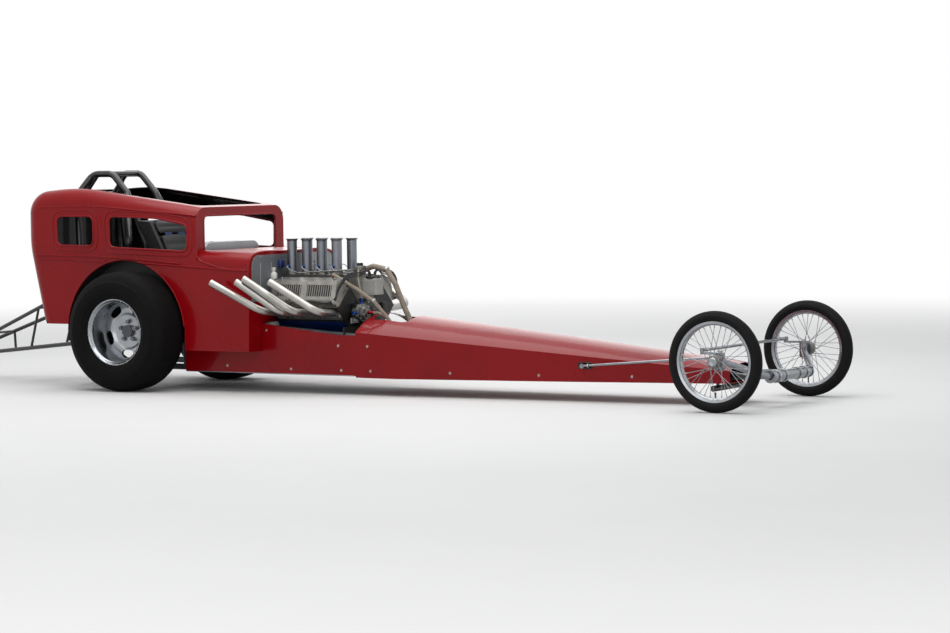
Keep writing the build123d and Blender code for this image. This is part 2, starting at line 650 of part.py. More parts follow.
SCOOP_REAR_X = 1605.0
SCOOP_FRONT_X = 1850.0
SCOOP_HALF_WIDTH = 185.0
SCOOP_CORNER_RADIUS = 40.0
SLOT_CENTRE = (DRAG_LINK_REAR[0] + 2.0, DRAG_LINK_REAR[2])
SLOT_LENGTH = 92.0
SLOT_HEIGHT = 34.0
SLOT_CUT_Y = 220.0
LAP_BELOW_CREASE = 8.0
FLOOR_LIP = 8.0
with BuildPart() as nose_shell:
    loft([nose_section(*row, 0) for row in NOSE_SECTIONS], ruled=True)
    inner = [nose_section(*row, PANEL_WALL) for row in NOSE_SECTIONS]
    inner[0] = nose_section(*NOSE_SECTIONS[0], PANEL_WALL, -1)
    inner[-1] = nose_section(*NOSE_SECTIONS[-1], PANEL_WALL, 1)
    loft(inner, ruled=True, mode=Mode.SUBTRACT)
    with BuildSketch(level_plane(NOSE_SECTIONS[0][3])):
        with Locations(((SCOOP_REAR_X + SCOOP_FRONT_X) / 2, 0)):
            RectangleRounded(SCOOP_FRONT_X - SCOOP_REAR_X, 2 * SCOOP_HALF_WIDTH, SCOOP_CORNER_RADIUS)
    extrude(amount=SWEEP, mode=Mode.SUBTRACT)
    with BuildSketch(side_plane(-SLOT_CUT_Y)):
        with Locations(SLOT_CENTRE):
            SlotOverall(SLOT_LENGTH, SLOT_HEIGHT)
    extrude(amount=BODY_HALF_WIDTH, mode=Mode.SUBTRACT)

# The nose is a top, two sides and a floor, parted just below the shoulder crease and above the bottom
CREASE_LINE = [(x, crease - LAP_BELOW_CREASE) for x, half_width, bottom, crease, crown in NOSE_SECTIONS]
LIP_LINE = [(x, bottom + FLOOR_LIP) for x, half_width, bottom, crease, crown in NOSE_SECTIONS]
BEFORE_NOSE = NOSE_REAR_X - EDGE_SEARCH
PAST_NOSE = NOSE_TIP_X + EDGE_SEARCH
for line in (CREASE_LINE, LIP_LINE):
    line[0] = (BEFORE_NOSE, line[0][1])
    line[-1] = (PAST_NOSE, line[-1][1])
NOSE_REGIONS = (
    ("nose_top", [*CREASE_LINE, (PAST_NOSE, UPPER_LIMIT), (BEFORE_NOSE, UPPER_LIMIT)]),
    ("nose_sides", [*CREASE_LINE, *reversed(LIP_LINE)]),
    ("nose_floor", [*LIP_LINE, (PAST_NOSE, 0), (BEFORE_NOSE, 0)]),
)
for name, corners in NOSE_REGIONS:
    with BuildPart() as nose_piece:
        add(nose_shell.part)
        keep_region(corners, -FULL_WIDTH, FULL_WIDTH)
    save(nose_piece, name)


# Engine: every bank piece is drawn on a plane leaning with its bank
def bank_plane(side, distance, x=ENGINE_REAR_X):
    """Return a plane square to a bank: local X is forward, local Y is down the bank, normal is along it."""
    lean = radians(BANK_ANGLE)
    normal = (0, side * sin(lean), cos(lean))
    origin = at(x, side * distance * sin(lean), CRANK_HEIGHT + distance * cos(lean))
    return Plane(origin=origin, x_dir=(1, 0, 0), z_dir=normal)


BLOCK_HALF = ((0, 210), (105, 210), (135, 300), (105, 340), (238, 438), (103, 573), (60, 520), (0, 520))
BELLHOUSING_RADIUS = 190.0
FRONT_COVER_WIDTH = 200.0
FRONT_COVER_HEIGHT = 330.0
FRONT_COVER_MIDDLE = 400.0
FRONT_COVER_CORNER = 60.0
FRONT_COVER_DEPTH = 45.0
CRANK_HUB_RADIUS = 70.0
CRANK_HUB_DEPTH = 28.0
MOTOR_PLATE_THICKNESS = 10.0
MOTOR_PLATE_MIDDLE = 325.0
MOTOR_PLATE_HEIGHT = 170.0
MOTOR_PLATE_HALF_WIDTH = 288.0
MOTOR_PLATE_LEAD = 20.0
MOTOR_PLATES_X = (ENGINE_REAR_X - BELLHOUSING_DEPTH,
                  ENGINE_REAR_X + ENGINE_LENGTH + MOTOR_PLATE_LEAD)
FRONT_COVER_X = ENGINE_REAR_X + ENGINE_LENGTH + FRONT_COVER_DEPTH
with BuildPart() as engine_block:
    with BuildSketch(cross_plane(ENGINE_REAR_X)):
        with BuildLine():
            Polyline(*BLOCK_HALF)
            Polyline(*[(-y, z) for y, z in BLOCK_HALF])
        make_face()
    extrude(amount=ENGINE_LENGTH)
    with BuildSketch(cross_plane(ENGINE_REAR_X + ENGINE_LENGTH)):
        with Locations((0, FRONT_COVER_MIDDLE)):
            RectangleRounded(FRONT_COVER_WIDTH, FRONT_COVER_HEIGHT, FRONT_COVER_CORNER)
    extrude(amount=FRONT_COVER_DEPTH)
    with BuildSketch(cross_plane(FRONT_COVER_X)):
        with Locations((0, CRANK_HEIGHT)):
            Circle(CRANK_HUB_RADIUS)
    extrude(amount=CRANK_HUB_DEPTH)
    with BuildSketch(cross_plane(ENGINE_REAR_X)):
        with Locations((0, CRANK_HEIGHT)):
            Circle(BELLHOUSING_RADIUS)
    extrude(amount=-BELLHOUSING_DEPTH)
    for x in MOTOR_PLATES_X:
        with BuildSketch(cross_plane(x)):
            with Locations((0, MOTOR_PLATE_MIDDLE)):
                Rectangle(2 * MOTOR_PLATE_HALF_WIDTH, MOTOR_PLATE_HEIGHT)
        extrude(amount=MOTOR_PLATE_THICKNESS)
    add(rail_space.part, mode=Mode.SUBTRACT)
save(engine_block, "engine_block")

HEAD_LENGTH = ENGINE_LENGTH + 8.0
with BuildPart() as cylinder_heads:
    for side_name, side in SIDES:
        with BuildSketch(bank_plane(side, DECK_DISTANCE + SEAT_GAP)):
            with Locations((HEAD_LENGTH / 2, 0)):
                Rectangle(HEAD_LENGTH, HEAD_WIDTH)
        extrude(amount=HEAD_HEIGHT)
    add(engine_block.part, mode=Mode.SUBTRACT)
save(cylinder_heads, "cylinder_heads")

# Cast valve covers: a flange, a shorter lid with a steep outer flank, and two ribbed fields sunk in the flank
COVER_REAR_X = ENGINE_REAR_X + 10.0
COVER_LENGTH = 494.0
COVER_END_STEP = 12.0
COVER_CORNER = 20.0
COVER_FLANGE = 8.0
COVER_FLANGE_LIP = 8.0
COVER_BASE = DECK_DISTANCE + SEAT_GAP + HEAD_HEIGHT
COVER_SEAT_Y = (304.0, 195.0)
COVER_RIM = (335.0, 565.0)
FLANK_FOOT = (335.0, 580.0)
FLANK_TOP = (303.0, 690.0)
COVER_CREST = (215.0, 712.0)
FIELD_DEPTH = 3.0
FIELD_LENGTH = 180.0
FIELD_HEIGHT = 74.0
FIELD_PITCH = 225.0
FIELD_COUNT = 2
RIB_COUNT = 11
RIB_WIDTH = 5.0


def seat_height(y):
    """Return the height of a cylinder head's top face at a distance to the side of the car's middle."""
    lean = radians(BANK_ANGLE)
    return CRANK_HEIGHT + (COVER_BASE - y * sin(lean)) / cos(lean)


def flank_plane(side):
    """Return the plane of a valve cover's outer flank: local X is forward, the normal points out."""
    (y_foot, z_foot), (y_top, z_top) = FLANK_FOOT, FLANK_TOP
    middle = at(COVER_REAR_X + COVER_LENGTH / 2, side * (y_foot + y_top) / 2, (z_foot + z_top) / 2)
    return Plane(origin=middle, x_dir=(1, 0, 0), z_dir=(0, side * (z_top - z_foot), y_foot - y_top))


COVER_OUTLINE = [(COVER_SEAT_Y[0], seat_height(COVER_SEAT_Y[0])), COVER_RIM, FLANK_FOOT, FLANK_TOP, COVER_CREST,
                 (COVER_SEAT_Y[1], seat_height(COVER_SEAT_Y[1]))]
SEAT_SPAN = (COVER_SEAT_Y[0] - COVER_SEAT_Y[1]) / cos(radians(BANK_ANGLE))
with BuildPart() as valve_covers:
    for side_name, side in SIDES:
        with BuildSketch(bank_plane(side, COVER_BASE, COVER_REAR_X)):
            with Locations((COVER_LENGTH / 2, 0)):
                RectangleRounded(COVER_LENGTH, SEAT_SPAN + 2 * COVER_FLANGE_LIP, COVER_CORNER)
        extrude(amount=COVER_FLANGE)
        with BuildSketch(cross_plane(COVER_REAR_X + COVER_END_STEP)):
            with BuildLine():
                Polyline(*[(side * y, z) for y, z in COVER_OUTLINE], close=True)
            make_face()
        extrude(amount=COVER_LENGTH - 2 * COVER_END_STEP)
    for side_name, side in SIDES:
        with BuildSketch(flank_plane(side)):
            with GridLocations(FIELD_PITCH, 0, FIELD_COUNT, 1):
                Rectangle(FIELD_LENGTH, FIELD_HEIGHT)
        extrude(amount=-FIELD_DEPTH, mode=Mode.SUBTRACT)
        with BuildSketch(flank_plane(side)):
            with GridLocations(FIELD_PITCH, 0, FIELD_COUNT, 1):
                with GridLocations(FIELD_LENGTH / RIB_COUNT, 0, RIB_COUNT, 1):
                    Rectangle(RIB_WIDTH, FIELD_HEIGHT)
        extrude(amount=-FIELD_DEPTH)
save(valve_covers, "valve_covers")

PAN_WIDTH = 210.0
PAN_FOOT = 142.0
PAN_TOP = 210.0
with BuildPart() as oil_pan:
    with BuildSketch(cross_plane(ENGINE_REAR_X)):
        with Locations((0, PAN_FOOT)):
            Rectangle(PAN_WIDTH, PAN_TOP - PAN_FOOT, align=(Align.CENTER, Align.MIN))
    extrude(amount=ENGINE_LENGTH)
    add(frame_tubes.part, mode=Mode.SUBTRACT)
save(oil_pan, "oil_pan")

MANIFOLD_TOP = 725.0
MANIFOLD_HALF = ((0, 540), (70, 545), (100, 600), (126, 690), (130, MANIFOLD_TOP), (0, MANIFOLD_TOP))
MANIFOLD_REAR_X = 914.0
MANIFOLD_LENGTH = 486.0
STACK_SPOTS = [(STACK_FIRST_X + number * STACK_PITCH, side * STACK_ROW_Y)
               for side_name, side in SIDES for number in range(4)]
STACK_BASE_LIP = 8.0
with BuildPart() as injector_manifold:
    with BuildSketch(cross_plane(MANIFOLD_REAR_X)):
        with BuildLine():
            Polyline(*MANIFOLD_HALF)
            Polyline(*[(-y, z) for y, z in MANIFOLD_HALF])
        make_face()
    extrude(amount=MANIFOLD_LENGTH)
    with BuildSketch(level_plane(MANIFOLD_TOP)):
        with Locations(*STACK_SPOTS):
            Circle(STACK_RADIUS + STACK_BASE_LIP)
    extrude(amount=STACK_FOOT - MANIFOLD_TOP)
    with BuildSketch(level_plane(STACK_FOOT)):
        with Locations(*STACK_SPOTS):
            Circle(STACK_RADIUS - STACK_WALL)
    extrude(amount=-(STACK_FOOT - MANIFOLD_TOP), mode=Mode.SUBTRACT)
    for solid in (engine_block, cylinder_heads, valve_covers):
        add(solid.part, mode=Mode.SUBTRACT)
save(injector_manifold, "injector_manifold")

# Flared velocity stacks, turned from one half section
STACK_FLARE = 22.0
STACK_LIP_WIDTH = 4.0
with BuildPart() as injector_stacks:
    for x, y in STACK_SPOTS:
        with BuildSketch(side_plane(y)):
            with BuildLine():
                Polyline((x + STACK_RADIUS - STACK_WALL, STACK_FOOT), (x + STACK_RADIUS, STACK_FOOT),
                         (x + STACK_RADIUS, STACK_TOP - STACK_FLARE))
                ThreePointArc((x + STACK_RADIUS, STACK_TOP - STACK_FLARE),
                              (x + STACK_RADIUS + STACK_WALL, STACK_TOP - STACK_FLARE / 3),
                              (x + STACK_LIP_RADIUS, STACK_TOP))
                Line((x + STACK_LIP_RADIUS, STACK_TOP), (x + STACK_LIP_RADIUS - STACK_LIP_WIDTH, STACK_TOP))
                ThreePointArc((x + STACK_LIP_RADIUS - STACK_LIP_WIDTH, STACK_TOP),
                              (x + STACK_RADIUS, STACK_TOP - STACK_FLARE / 3),
                              (x + STACK_RADIUS - STACK_WALL, STACK_TOP - STACK_FLARE))
                Line((x + STACK_RADIUS - STACK_WALL, STACK_TOP - STACK_FLARE),
                     (x + STACK_RADIUS - STACK_WALL, STACK_FOOT))
            make_face()
        revolve(axis=Axis(at(x, y, 0), (0, 0, 1)))
save(injector_stacks, "injector_stacks")

# Exhaust headers of one side, one row a pipe: port X, knee X, tip X, tip Z
HEADER_ROWS = (
    (1010, 1020, 680, 688),
    (1150, 1150, 870, 695),
    (1250, 1250, 926, 714),
    (1400, 1430, 1118, 698),
)
PORT_Y = 273.0
PORT_HEIGHT = 494.0
KNEE_Y = 525.0
KNEE_HEIGHT = 514.0
TIP_Y = 575.0
HEADER_BEND = 75.0
HEADER_BORE_DEPTH = 90.0
PORT_FLANGE_DISTANCE = 60.0
PORT_FLANGE_WIDTH = 60.0
PORT_FLANGE_THICKNESS = 10.0
PORT_FLANGE_MARGIN = 42.0
for side_name, side in SIDES:
    with BuildPart() as headers:
        for port_x, knee_x, tip_x, tip_z in HEADER_ROWS:
            knee = (knee_x, side * KNEE_Y, KNEE_HEIGHT)
            tip = (tip_x, side * TIP_Y, tip_z)
            bent_tube([(port_x, side * PORT_Y, PORT_HEIGHT), knee, tip], HEADER_BEND, HEADER_RADIUS)
        for port_x, knee_x, tip_x, tip_z in HEADER_ROWS:
            tip = Vector(tip_x, side * TIP_Y, tip_z)
            inward = (Vector(knee_x, side * KNEE_Y, KNEE_HEIGHT) - tip).normalized() * HEADER_BORE_DEPTH
            rod(tip, tip + inward, HEADER_RADIUS - HEADER_WALL, mode=Mode.SUBTRACT)
        flange_x = HEADER_ROWS[0][0] - PORT_FLANGE_MARGIN
        flange_length = HEADER_ROWS[-1][0] - HEADER_ROWS[0][0] + 2 * PORT_FLANGE_MARGIN
        with BuildSketch(bank_plane(side, DECK_DISTANCE + PORT_FLANGE_DISTANCE, flange_x)):
            with Locations((flange_length / 2, side * (HEAD_WIDTH + PORT_FLANGE_THICKNESS) / 2)):
                Rectangle(flange_length, PORT_FLANGE_THICKNESS)
        extrude(amount=PORT_FLANGE_WIDTH / 2, both=True)
        add(cylinder_heads.part, mode=Mode.SUBTRACT)
        add(engine_block.part, mode=Mode.SUBTRACT)
    save(headers, f"headers_{side_name}")

MAGNETO_FOOT = 560.0
MAGNETO_NECK_TOP = 600.0
MAGNETO_TOP = 700.0
MAGNETO_NECK_RADIUS = 30.0
MAGNETO_LENGTH = 112.0
MAGNETO_WIDTH = 92.0
MAGNETO_CORNER = 16.0
MAGNETO_NECK_X = FRONT_COVER_X - 20.0
MAGNETO_BOX_X = FRONT_COVER_X + 12.0
with BuildPart() as magneto:
    with BuildSketch(level_plane(MAGNETO_FOOT)):
        with Locations((MAGNETO_NECK_X, 0)):
            Circle(MAGNETO_NECK_RADIUS)
    extrude(amount=MAGNETO_NECK_TOP - MAGNETO_FOOT)
    with BuildSketch(level_plane(MAGNETO_NECK_TOP)):
        with Locations((MAGNETO_BOX_X, 0)):
            RectangleRounded(MAGNETO_LENGTH, MAGNETO_WIDTH, MAGNETO_CORNER)
    extrude(amount=MAGNETO_TOP - MAGNETO_NECK_TOP, taper=4)
    fillet(magneto.edges().group_by(Axis.Z)[-1], MAGNETO_CORNER / 4)
    for solid in (engine_block, injector_manifold):
        add(solid.part, mode=Mode.SUBTRACT)
save(magneto, "magneto")

# Fuel pump: stepped body held beside the front cover by a bracket plate
PUMP_CENTRE = (-142.0, 495.0)
PUMP_STEPS = ((55.0, 24.0), (44.0, 24.0), (26.0, 14.0))
PUMP_REAR_RADIUS = 38.0
PUMP_REAR_DEPTH = 30.0
PUMP_BRACKET_CENTRE = (-105.0, 495.0)
PUMP_BRACKET_SIZE = (150.0, 70.0)
PUMP_BRACKET_CORNER = 12.0
PUMP_BRACKET_THICKNESS = 8.0
with BuildPart() as fuel_pump:
    with BuildSketch(cross_plane(FRONT_COVER_X)):
        with Locations(PUMP_BRACKET_CENTRE):
            RectangleRounded(*PUMP_BRACKET_SIZE, PUMP_BRACKET_CORNER)
    extrude(amount=PUMP_BRACKET_THICKNESS)
    with BuildSketch(cross_plane(FRONT_COVER_X)):
        with Locations(PUMP_CENTRE):
            Circle(PUMP_REAR_RADIUS)
    extrude(amount=-PUMP_REAR_DEPTH)
    reached = FRONT_COVER_X + PUMP_BRACKET_THICKNESS
    for radius, depth in PUMP_STEPS:
        with BuildSketch(cross_plane(reached)):
            with Locations(PUMP_CENTRE):
                Circle(radius)
        extrude(amount=depth)
        reached += depth
save(fuel_pump, "fuel_pump")

TANK_RADIUS = 125.0
TANK_HALF_LENGTH = 222.0
TANK_EDGE_RADIUS = 40.0
TANK_X = 1830.0
TANK_CENTRE = (TANK_X, run_point(LOWER_RAIL_RUN, TANK_X)[1] + FRAME_TUBE_RADIUS + TANK_RADIUS)
with BuildPart() as fuel_tank:
    with BuildSketch(side_plane(TANK_HALF_LENGTH)):
        with Locations(TANK_CENTRE):
            Circle(TANK_RADIUS)
    extrude(amount=2 * TANK_HALF_LENGTH)
    fillet(fuel_tank.edges().filter_by(GeomType.CIRCLE), TANK_EDGE_RADIUS)
save(fuel_tank, "fuel_tank")

# Fuel hoses with columns radius, then the points of the route
HOSES = (
    (17.0, ((1375, 58, 715), (1392, 58, 748), (1465, 60, 772), (1560, 62, 752), (1625, 60, 660),
            (1690, 56, 520), (1770, 50, 370))),
    (11.0, ((1290, -110, 705), (1312, -165, 722), (1345, -212, 729), (1420, -225, 696), (1520, -215, 640),
            (1620, -190, 570), (1700, -160, 470), (1775, -150, 365))),
)
HOSE_BEND = 30.0
with BuildPart() as fuel_hoses:
    for radius, route in HOSES:
        bent_tube(route, HOSE_BEND, radius)
    for solid in (injector_manifold, fuel_tank, valve_covers):
        add(solid.part, mode=Mode.SUBTRACT)
save(fuel_hoses, "fuel_hoses")

# Rear axle: housing, centre section and the hub registers that carry the wheels
WHEEL_PAD_Y = 522.0
WHEEL_PAD_THICKNESS = 14.0
HUB_REGISTER_RADIUS = 38.0
HUB_REGISTER_REACH = 20.0
AXLE_FLANGE_RADIUS = 78.0
CENTRE_SECTION_RADIUS = 138.0
CENTRE_SECTION_X = 20.0
PINION_RADIUS = 60.0
with BuildPart() as rear_axle:
    rod((0, -AXLE_TUBE_END_Y, REAR_TYRE_RADIUS), (0, AXLE_TUBE_END_Y, REAR_TYRE_RADIUS), AXLE_TUBE_RADIUS)
    with Locations(at(CENTRE_SECTION_X, 0, REAR_TYRE_RADIUS)):
        Sphere(CENTRE_SECTION_RADIUS)
    rod((0, 0, REAR_TYRE_RADIUS), (PINION_END_X, 0, REAR_TYRE_RADIUS), PINION_RADIUS)
    for side_name, side in SIDES:
        pad_inside = WHEEL_PAD_Y - WHEEL_PAD_THICKNESS
        rod((0, side * AXLE_TUBE_END_Y, REAR_TYRE_RADIUS),
            (0, side * (pad_inside - SIDE_GAP), REAR_TYRE_RADIUS), AXLE_FLANGE_RADIUS)
        rod((0, side * AXLE_TUBE_END_Y, REAR_TYRE_RADIUS),
            (0, side * (WHEEL_PAD_Y + HUB_REGISTER_REACH), REAR_TYRE_RADIUS),
            HUB_REGISTER_RADIUS - RUNNING_CLEARANCE)
save(rear_axle, "rear_axle")

# Rear wheels: slick tyre, deep rim and slotted centre
REAR_LIP_RADIUS = 207.5
REAR_LIP_THICKNESS = 8.0
REAR_LIP_DEPTH = 12.0
REAR_BEAD_RADIUS = REAR_LIP_RADIUS - REAR_LIP_THICKNESS
REAR_SEAT_RADIUS = REAR_BEAD_RADIUS - 2.0
REAR_RIM_HALF_WIDTH = 126.0
REAR_BARREL_RADIUS = 184.0
TREAD_SHOULDER_DROP = 7.0
SIDEWALL_RADIUS = 290.0
PAD_FACE_RADIUS = 101.0
DISH_RADIUS = 125.0
DISH_RISE = 8.0
WHEEL_SLOT_COUNT = 5
WHEEL_SLOT_RING = 142.0
WHEEL_SLOT_LENGTH = 78.0
WHEEL_SLOT_WIDTH = 40.0
for side_name, side in SIDES:
    middle = side * REAR_HALF_TRACK
    half_tread = REAR_TREAD_WIDTH / 2
    half_section = REAR_TYRE_SECTION / 2
    shoulder = REAR_TYRE_RADIUS - TREAD_SHOULDER_DROP
    half_bead = REAR_RIM_HALF_WIDTH - REAR_LIP_THICKNESS / 2
    rim_half = REAR_RIM_HALF_WIDTH
    rim_seat = rim_half - REAR_LIP_DEPTH
    pad = side * WHEEL_PAD_Y
    back = side * (WHEEL_PAD_Y - WHEEL_PAD_THICKNESS)
    rise = side * DISH_RISE
    disc_end = REAR_BARREL_RADIUS + REAR_LIP_THICKNESS / 2
    with BuildPart() as rear_wheel:
        with BuildSketch(wheel_plane(0, REAR_TYRE_RADIUS)):
            with BuildLine():
                Polyline((middle - half_tread, shoulder), (middle, REAR_TYRE_RADIUS),
                         (middle + half_tread, shoulder))
                ThreePointArc((middle + half_tread, shoulder), (middle + half_section, SIDEWALL_RADIUS),
                              (middle + half_bead, REAR_BEAD_RADIUS))
                Line((middle + half_bead, REAR_BEAD_RADIUS), (middle - half_bead, REAR_BEAD_RADIUS))
                ThreePointArc((middle - half_bead, REAR_BEAD_RADIUS),
                              (middle - half_section, SIDEWALL_RADIUS), (middle - half_tread, shoulder))
            make_face()
        revolve(axis=wheel_axis(0, REAR_TYRE_RADIUS))
        with BuildSketch(wheel_plane(0, REAR_TYRE_RADIUS)):
            with BuildLine():
                Polyline((middle - rim_half, REAR_LIP_RADIUS),
                         (middle - rim_half + REAR_LIP_THICKNESS, REAR_LIP_RADIUS),
                         (middle - rim_seat, REAR_SEAT_RADIUS),
                         (middle + rim_seat, REAR_SEAT_RADIUS),
                         (middle + rim_half - REAR_LIP_THICKNESS, REAR_LIP_RADIUS),
                         (middle + rim_half, REAR_LIP_RADIUS),
                         (middle + rim_half, REAR_LIP_RADIUS - REAR_LIP_DEPTH),
                         (middle + rim_seat, REAR_BARREL_RADIUS),
                         (middle - rim_seat, REAR_BARREL_RADIUS),
                         (middle - rim_half, REAR_LIP_RADIUS - REAR_LIP_DEPTH), close=True)
            make_face()
        revolve(axis=wheel_axis(0, REAR_TYRE_RADIUS))
        with BuildSketch(wheel_plane(0, REAR_TYRE_RADIUS)):
            with BuildLine():
                Polyline((pad, HUB_REGISTER_RADIUS), (pad, PAD_FACE_RADIUS), (pad + rise, DISH_RADIUS),
                         (pad + rise / 2, disc_end), (back - rise, disc_end), (back - rise / 4, DISH_RADIUS),
                         (back, PAD_FACE_RADIUS), (back, HUB_REGISTER_RADIUS), close=True)
            make_face()
        revolve(axis=wheel_axis(0, REAR_TYRE_RADIUS))
        with BuildSketch(Plane(origin=at(0, pad, REAR_TYRE_RADIUS), x_dir=(1, 0, 0), z_dir=(0, side, 0))):
            with PolarLocations(WHEEL_SLOT_RING, WHEEL_SLOT_COUNT):
                SlotOverall(WHEEL_SLOT_LENGTH, WHEEL_SLOT_WIDTH, rotation=90)
        extrude(amount=2 * WHEEL_SLOT_WIDTH, both=True, mode=Mode.SUBTRACT)
    save(rear_wheel, f"rear_wheel_{side_name}")

# Wheelie bars: two side trusses from the cage and frame, joined by cross tubes, and a small axle
WHEELIE_TUBE_RADIUS = 12.5
WHEELIE_CROSS_RADIUS = 8.5
WHEELIE_TAIL_X = -(WHEELIE_REACH - 90)
WHEELIE_TAIL_Z = 152.0
WHEELIE_TAIL_Y = 60.0
WHEELIE_UPPER_START = (-577.6, 257.5, 650.0)
WHEELIE_LOWER_START = (RAIL_REAR_X, RAIL_REAR_Y, 279.0)
WHEELIE_UPPER_END = (WHEELIE_TAIL_X, WHEELIE_TAIL_Y, WHEELIE_TAIL_Z + 30)
WHEELIE_LOWER_END = (WHEELIE_TAIL_X, WHEELIE_TAIL_Y, WHEELIE_TAIL_Z)
WHEELIE_STRUTS = ((0.34, 0.41), (0.72, 0.72))
WHEELIE_PLATE_THICKNESS = 14.0
WHEELIE_PLATE_RADIUS = 22.0
WHEELIE_PLATE_LEAD = 40.0
WHEELIE_PLATE_RISE = 40.0
WHEELIE_PLATE_DROP = 12.0
WHEELIE_PLATE_HALF_END = 18.0
WHEELIE_PLATE_OVERHANG = 10.0
WHEELIE_AXLE_RADIUS = 10.0
TAIL_HOLE_CLEARANCE = 6.0


def between(start, end, share):
    """Return the point at a share of the way from one point to another."""
    return tuple(a + (b - a) * share for a, b in zip(start, end))


with BuildPart() as wheelie_trusses:
    plate_front = WHEELIE_TAIL_X + WHEELIE_PLATE_LEAD
    plate_rear = -WHEELIE_REACH - WHEELIE_PLATE_OVERHANG
    for side_name, side in SIDES:
        for start, end in ((WHEELIE_UPPER_START, WHEELIE_UPPER_END),
                           (WHEELIE_LOWER_START, WHEELIE_LOWER_END)):
            rod(on_side(start, side), on_side(end, side), WHEELIE_TUBE_RADIUS)
        for upper_share, lower_share in WHEELIE_STRUTS:
            upper = between(WHEELIE_UPPER_START, WHEELIE_UPPER_END, upper_share)
            lower = between(WHEELIE_LOWER_START, WHEELIE_LOWER_END, lower_share)
            rod(on_side(upper, side), on_side(lower, side), WHEELIE_CROSS_RADIUS)
        with BuildSketch(side_plane(side * (WHEELIE_TAIL_Y - WHEELIE_PLATE_THICKNESS / 2))):
            with BuildLine():
                Polyline((plate_front, WHEELIE_TAIL_Z + WHEELIE_PLATE_RISE),
                         (plate_front, WHEELIE_TAIL_Z - WHEELIE_PLATE_DROP),
                         (plate_rear, WHEELIE_AXLE_HEIGHT - WHEELIE_PLATE_HALF_END),
                         (plate_rear, WHEELIE_AXLE_HEIGHT + WHEELIE_PLATE_HALF_END), close=True)
            make_face()
            with Locations((-WHEELIE_REACH, WHEELIE_AXLE_HEIGHT)):
                Circle(WHEELIE_PLATE_RADIUS)
        extrude(amount=-side * WHEELIE_PLATE_THICKNESS)
    rod((-WHEELIE_REACH, -WHEELIE_TAIL_Y - WHEELIE_PLATE_THICKNESS, WHEELIE_AXLE_HEIGHT),
        (-WHEELIE_REACH, WHEELIE_TAIL_Y + WHEELIE_PLATE_THICKNESS, WHEELIE_AXLE_HEIGHT),
        WHEELIE_AXLE_RADIUS, mode=Mode.SUBTRACT)
    add(rail_space.part, mode=Mode.SUBTRACT)
    add(loop_space.part, mode=Mode.SUBTRACT)
    add(frame_tubes.part, mode=Mode.SUBTRACT)

with BuildPart() as wheelie_bars:
    for upper_share, lower_share in WHEELIE_STRUTS:
        for start, end, share in ((WHEELIE_UPPER_START, WHEELIE_UPPER_END, upper_share),
                                  (WHEELIE_LOWER_START, WHEELIE_LOWER_END, lower_share)):
            spot = between(start, end, share)
            rod(on_side(spot, -1), on_side(spot, 1), WHEELIE_CROSS_RADIUS)
    add(wheelie_trusses.part)
save(wheelie_bars, "wheelie_bars")

with BuildPart() as body_back_drilled:
    add(body_back.part)
    for side_name, side in SIDES:
        rod(on_side(WHEELIE_UPPER_START, side), on_side(WHEELIE_UPPER_END, side),
            WHEELIE_TUBE_RADIUS + TAIL_HOLE_CLEARANCE, mode=Mode.SUBTRACT)
save(body_back_drilled, "body_back")

WHEELIE_WHEEL_GAP = 3.0
WHEELIE_WHEEL_WIDTH = 34.0
with BuildPart() as wheelie_wheels:
    inner_y = WHEELIE_TAIL_Y + WHEELIE_PLATE_THICKNESS / 2 + WHEELIE_WHEEL_GAP
    outer_y = inner_y + WHEELIE_WHEEL_WIDTH
    rod((-WHEELIE_REACH, -outer_y, WHEELIE_AXLE_HEIGHT), (-WHEELIE_REACH, outer_y, WHEELIE_AXLE_HEIGHT),
        WHEELIE_AXLE_RADIUS - RUNNING_CLEARANCE)
    for side_name, side in SIDES:
        rod((-WHEELIE_REACH, side * inner_y, WHEELIE_AXLE_HEIGHT),
            (-WHEELIE_REACH, side * outer_y, WHEELIE_AXLE_HEIGHT), WHEELIE_WHEEL_RADIUS)
save(wheelie_wheels, "wheelie_wheels")

# Front end: chrome cross tube, swept arms with kingpin bosses, radius rods
with BuildPart() as front_cross_tube:
    rod((CROSS_TUBE_X, -CROSS_TUBE_HALF_LENGTH, CROSS_TUBE_HEIGHT),
        (CROSS_TUBE_X, CROSS_TUBE_HALF_LENGTH, CROSS_TUBE_HEIGHT), CROSS_TUBE_RADIUS)
save(front_cross_tube, "front_cross_tube")

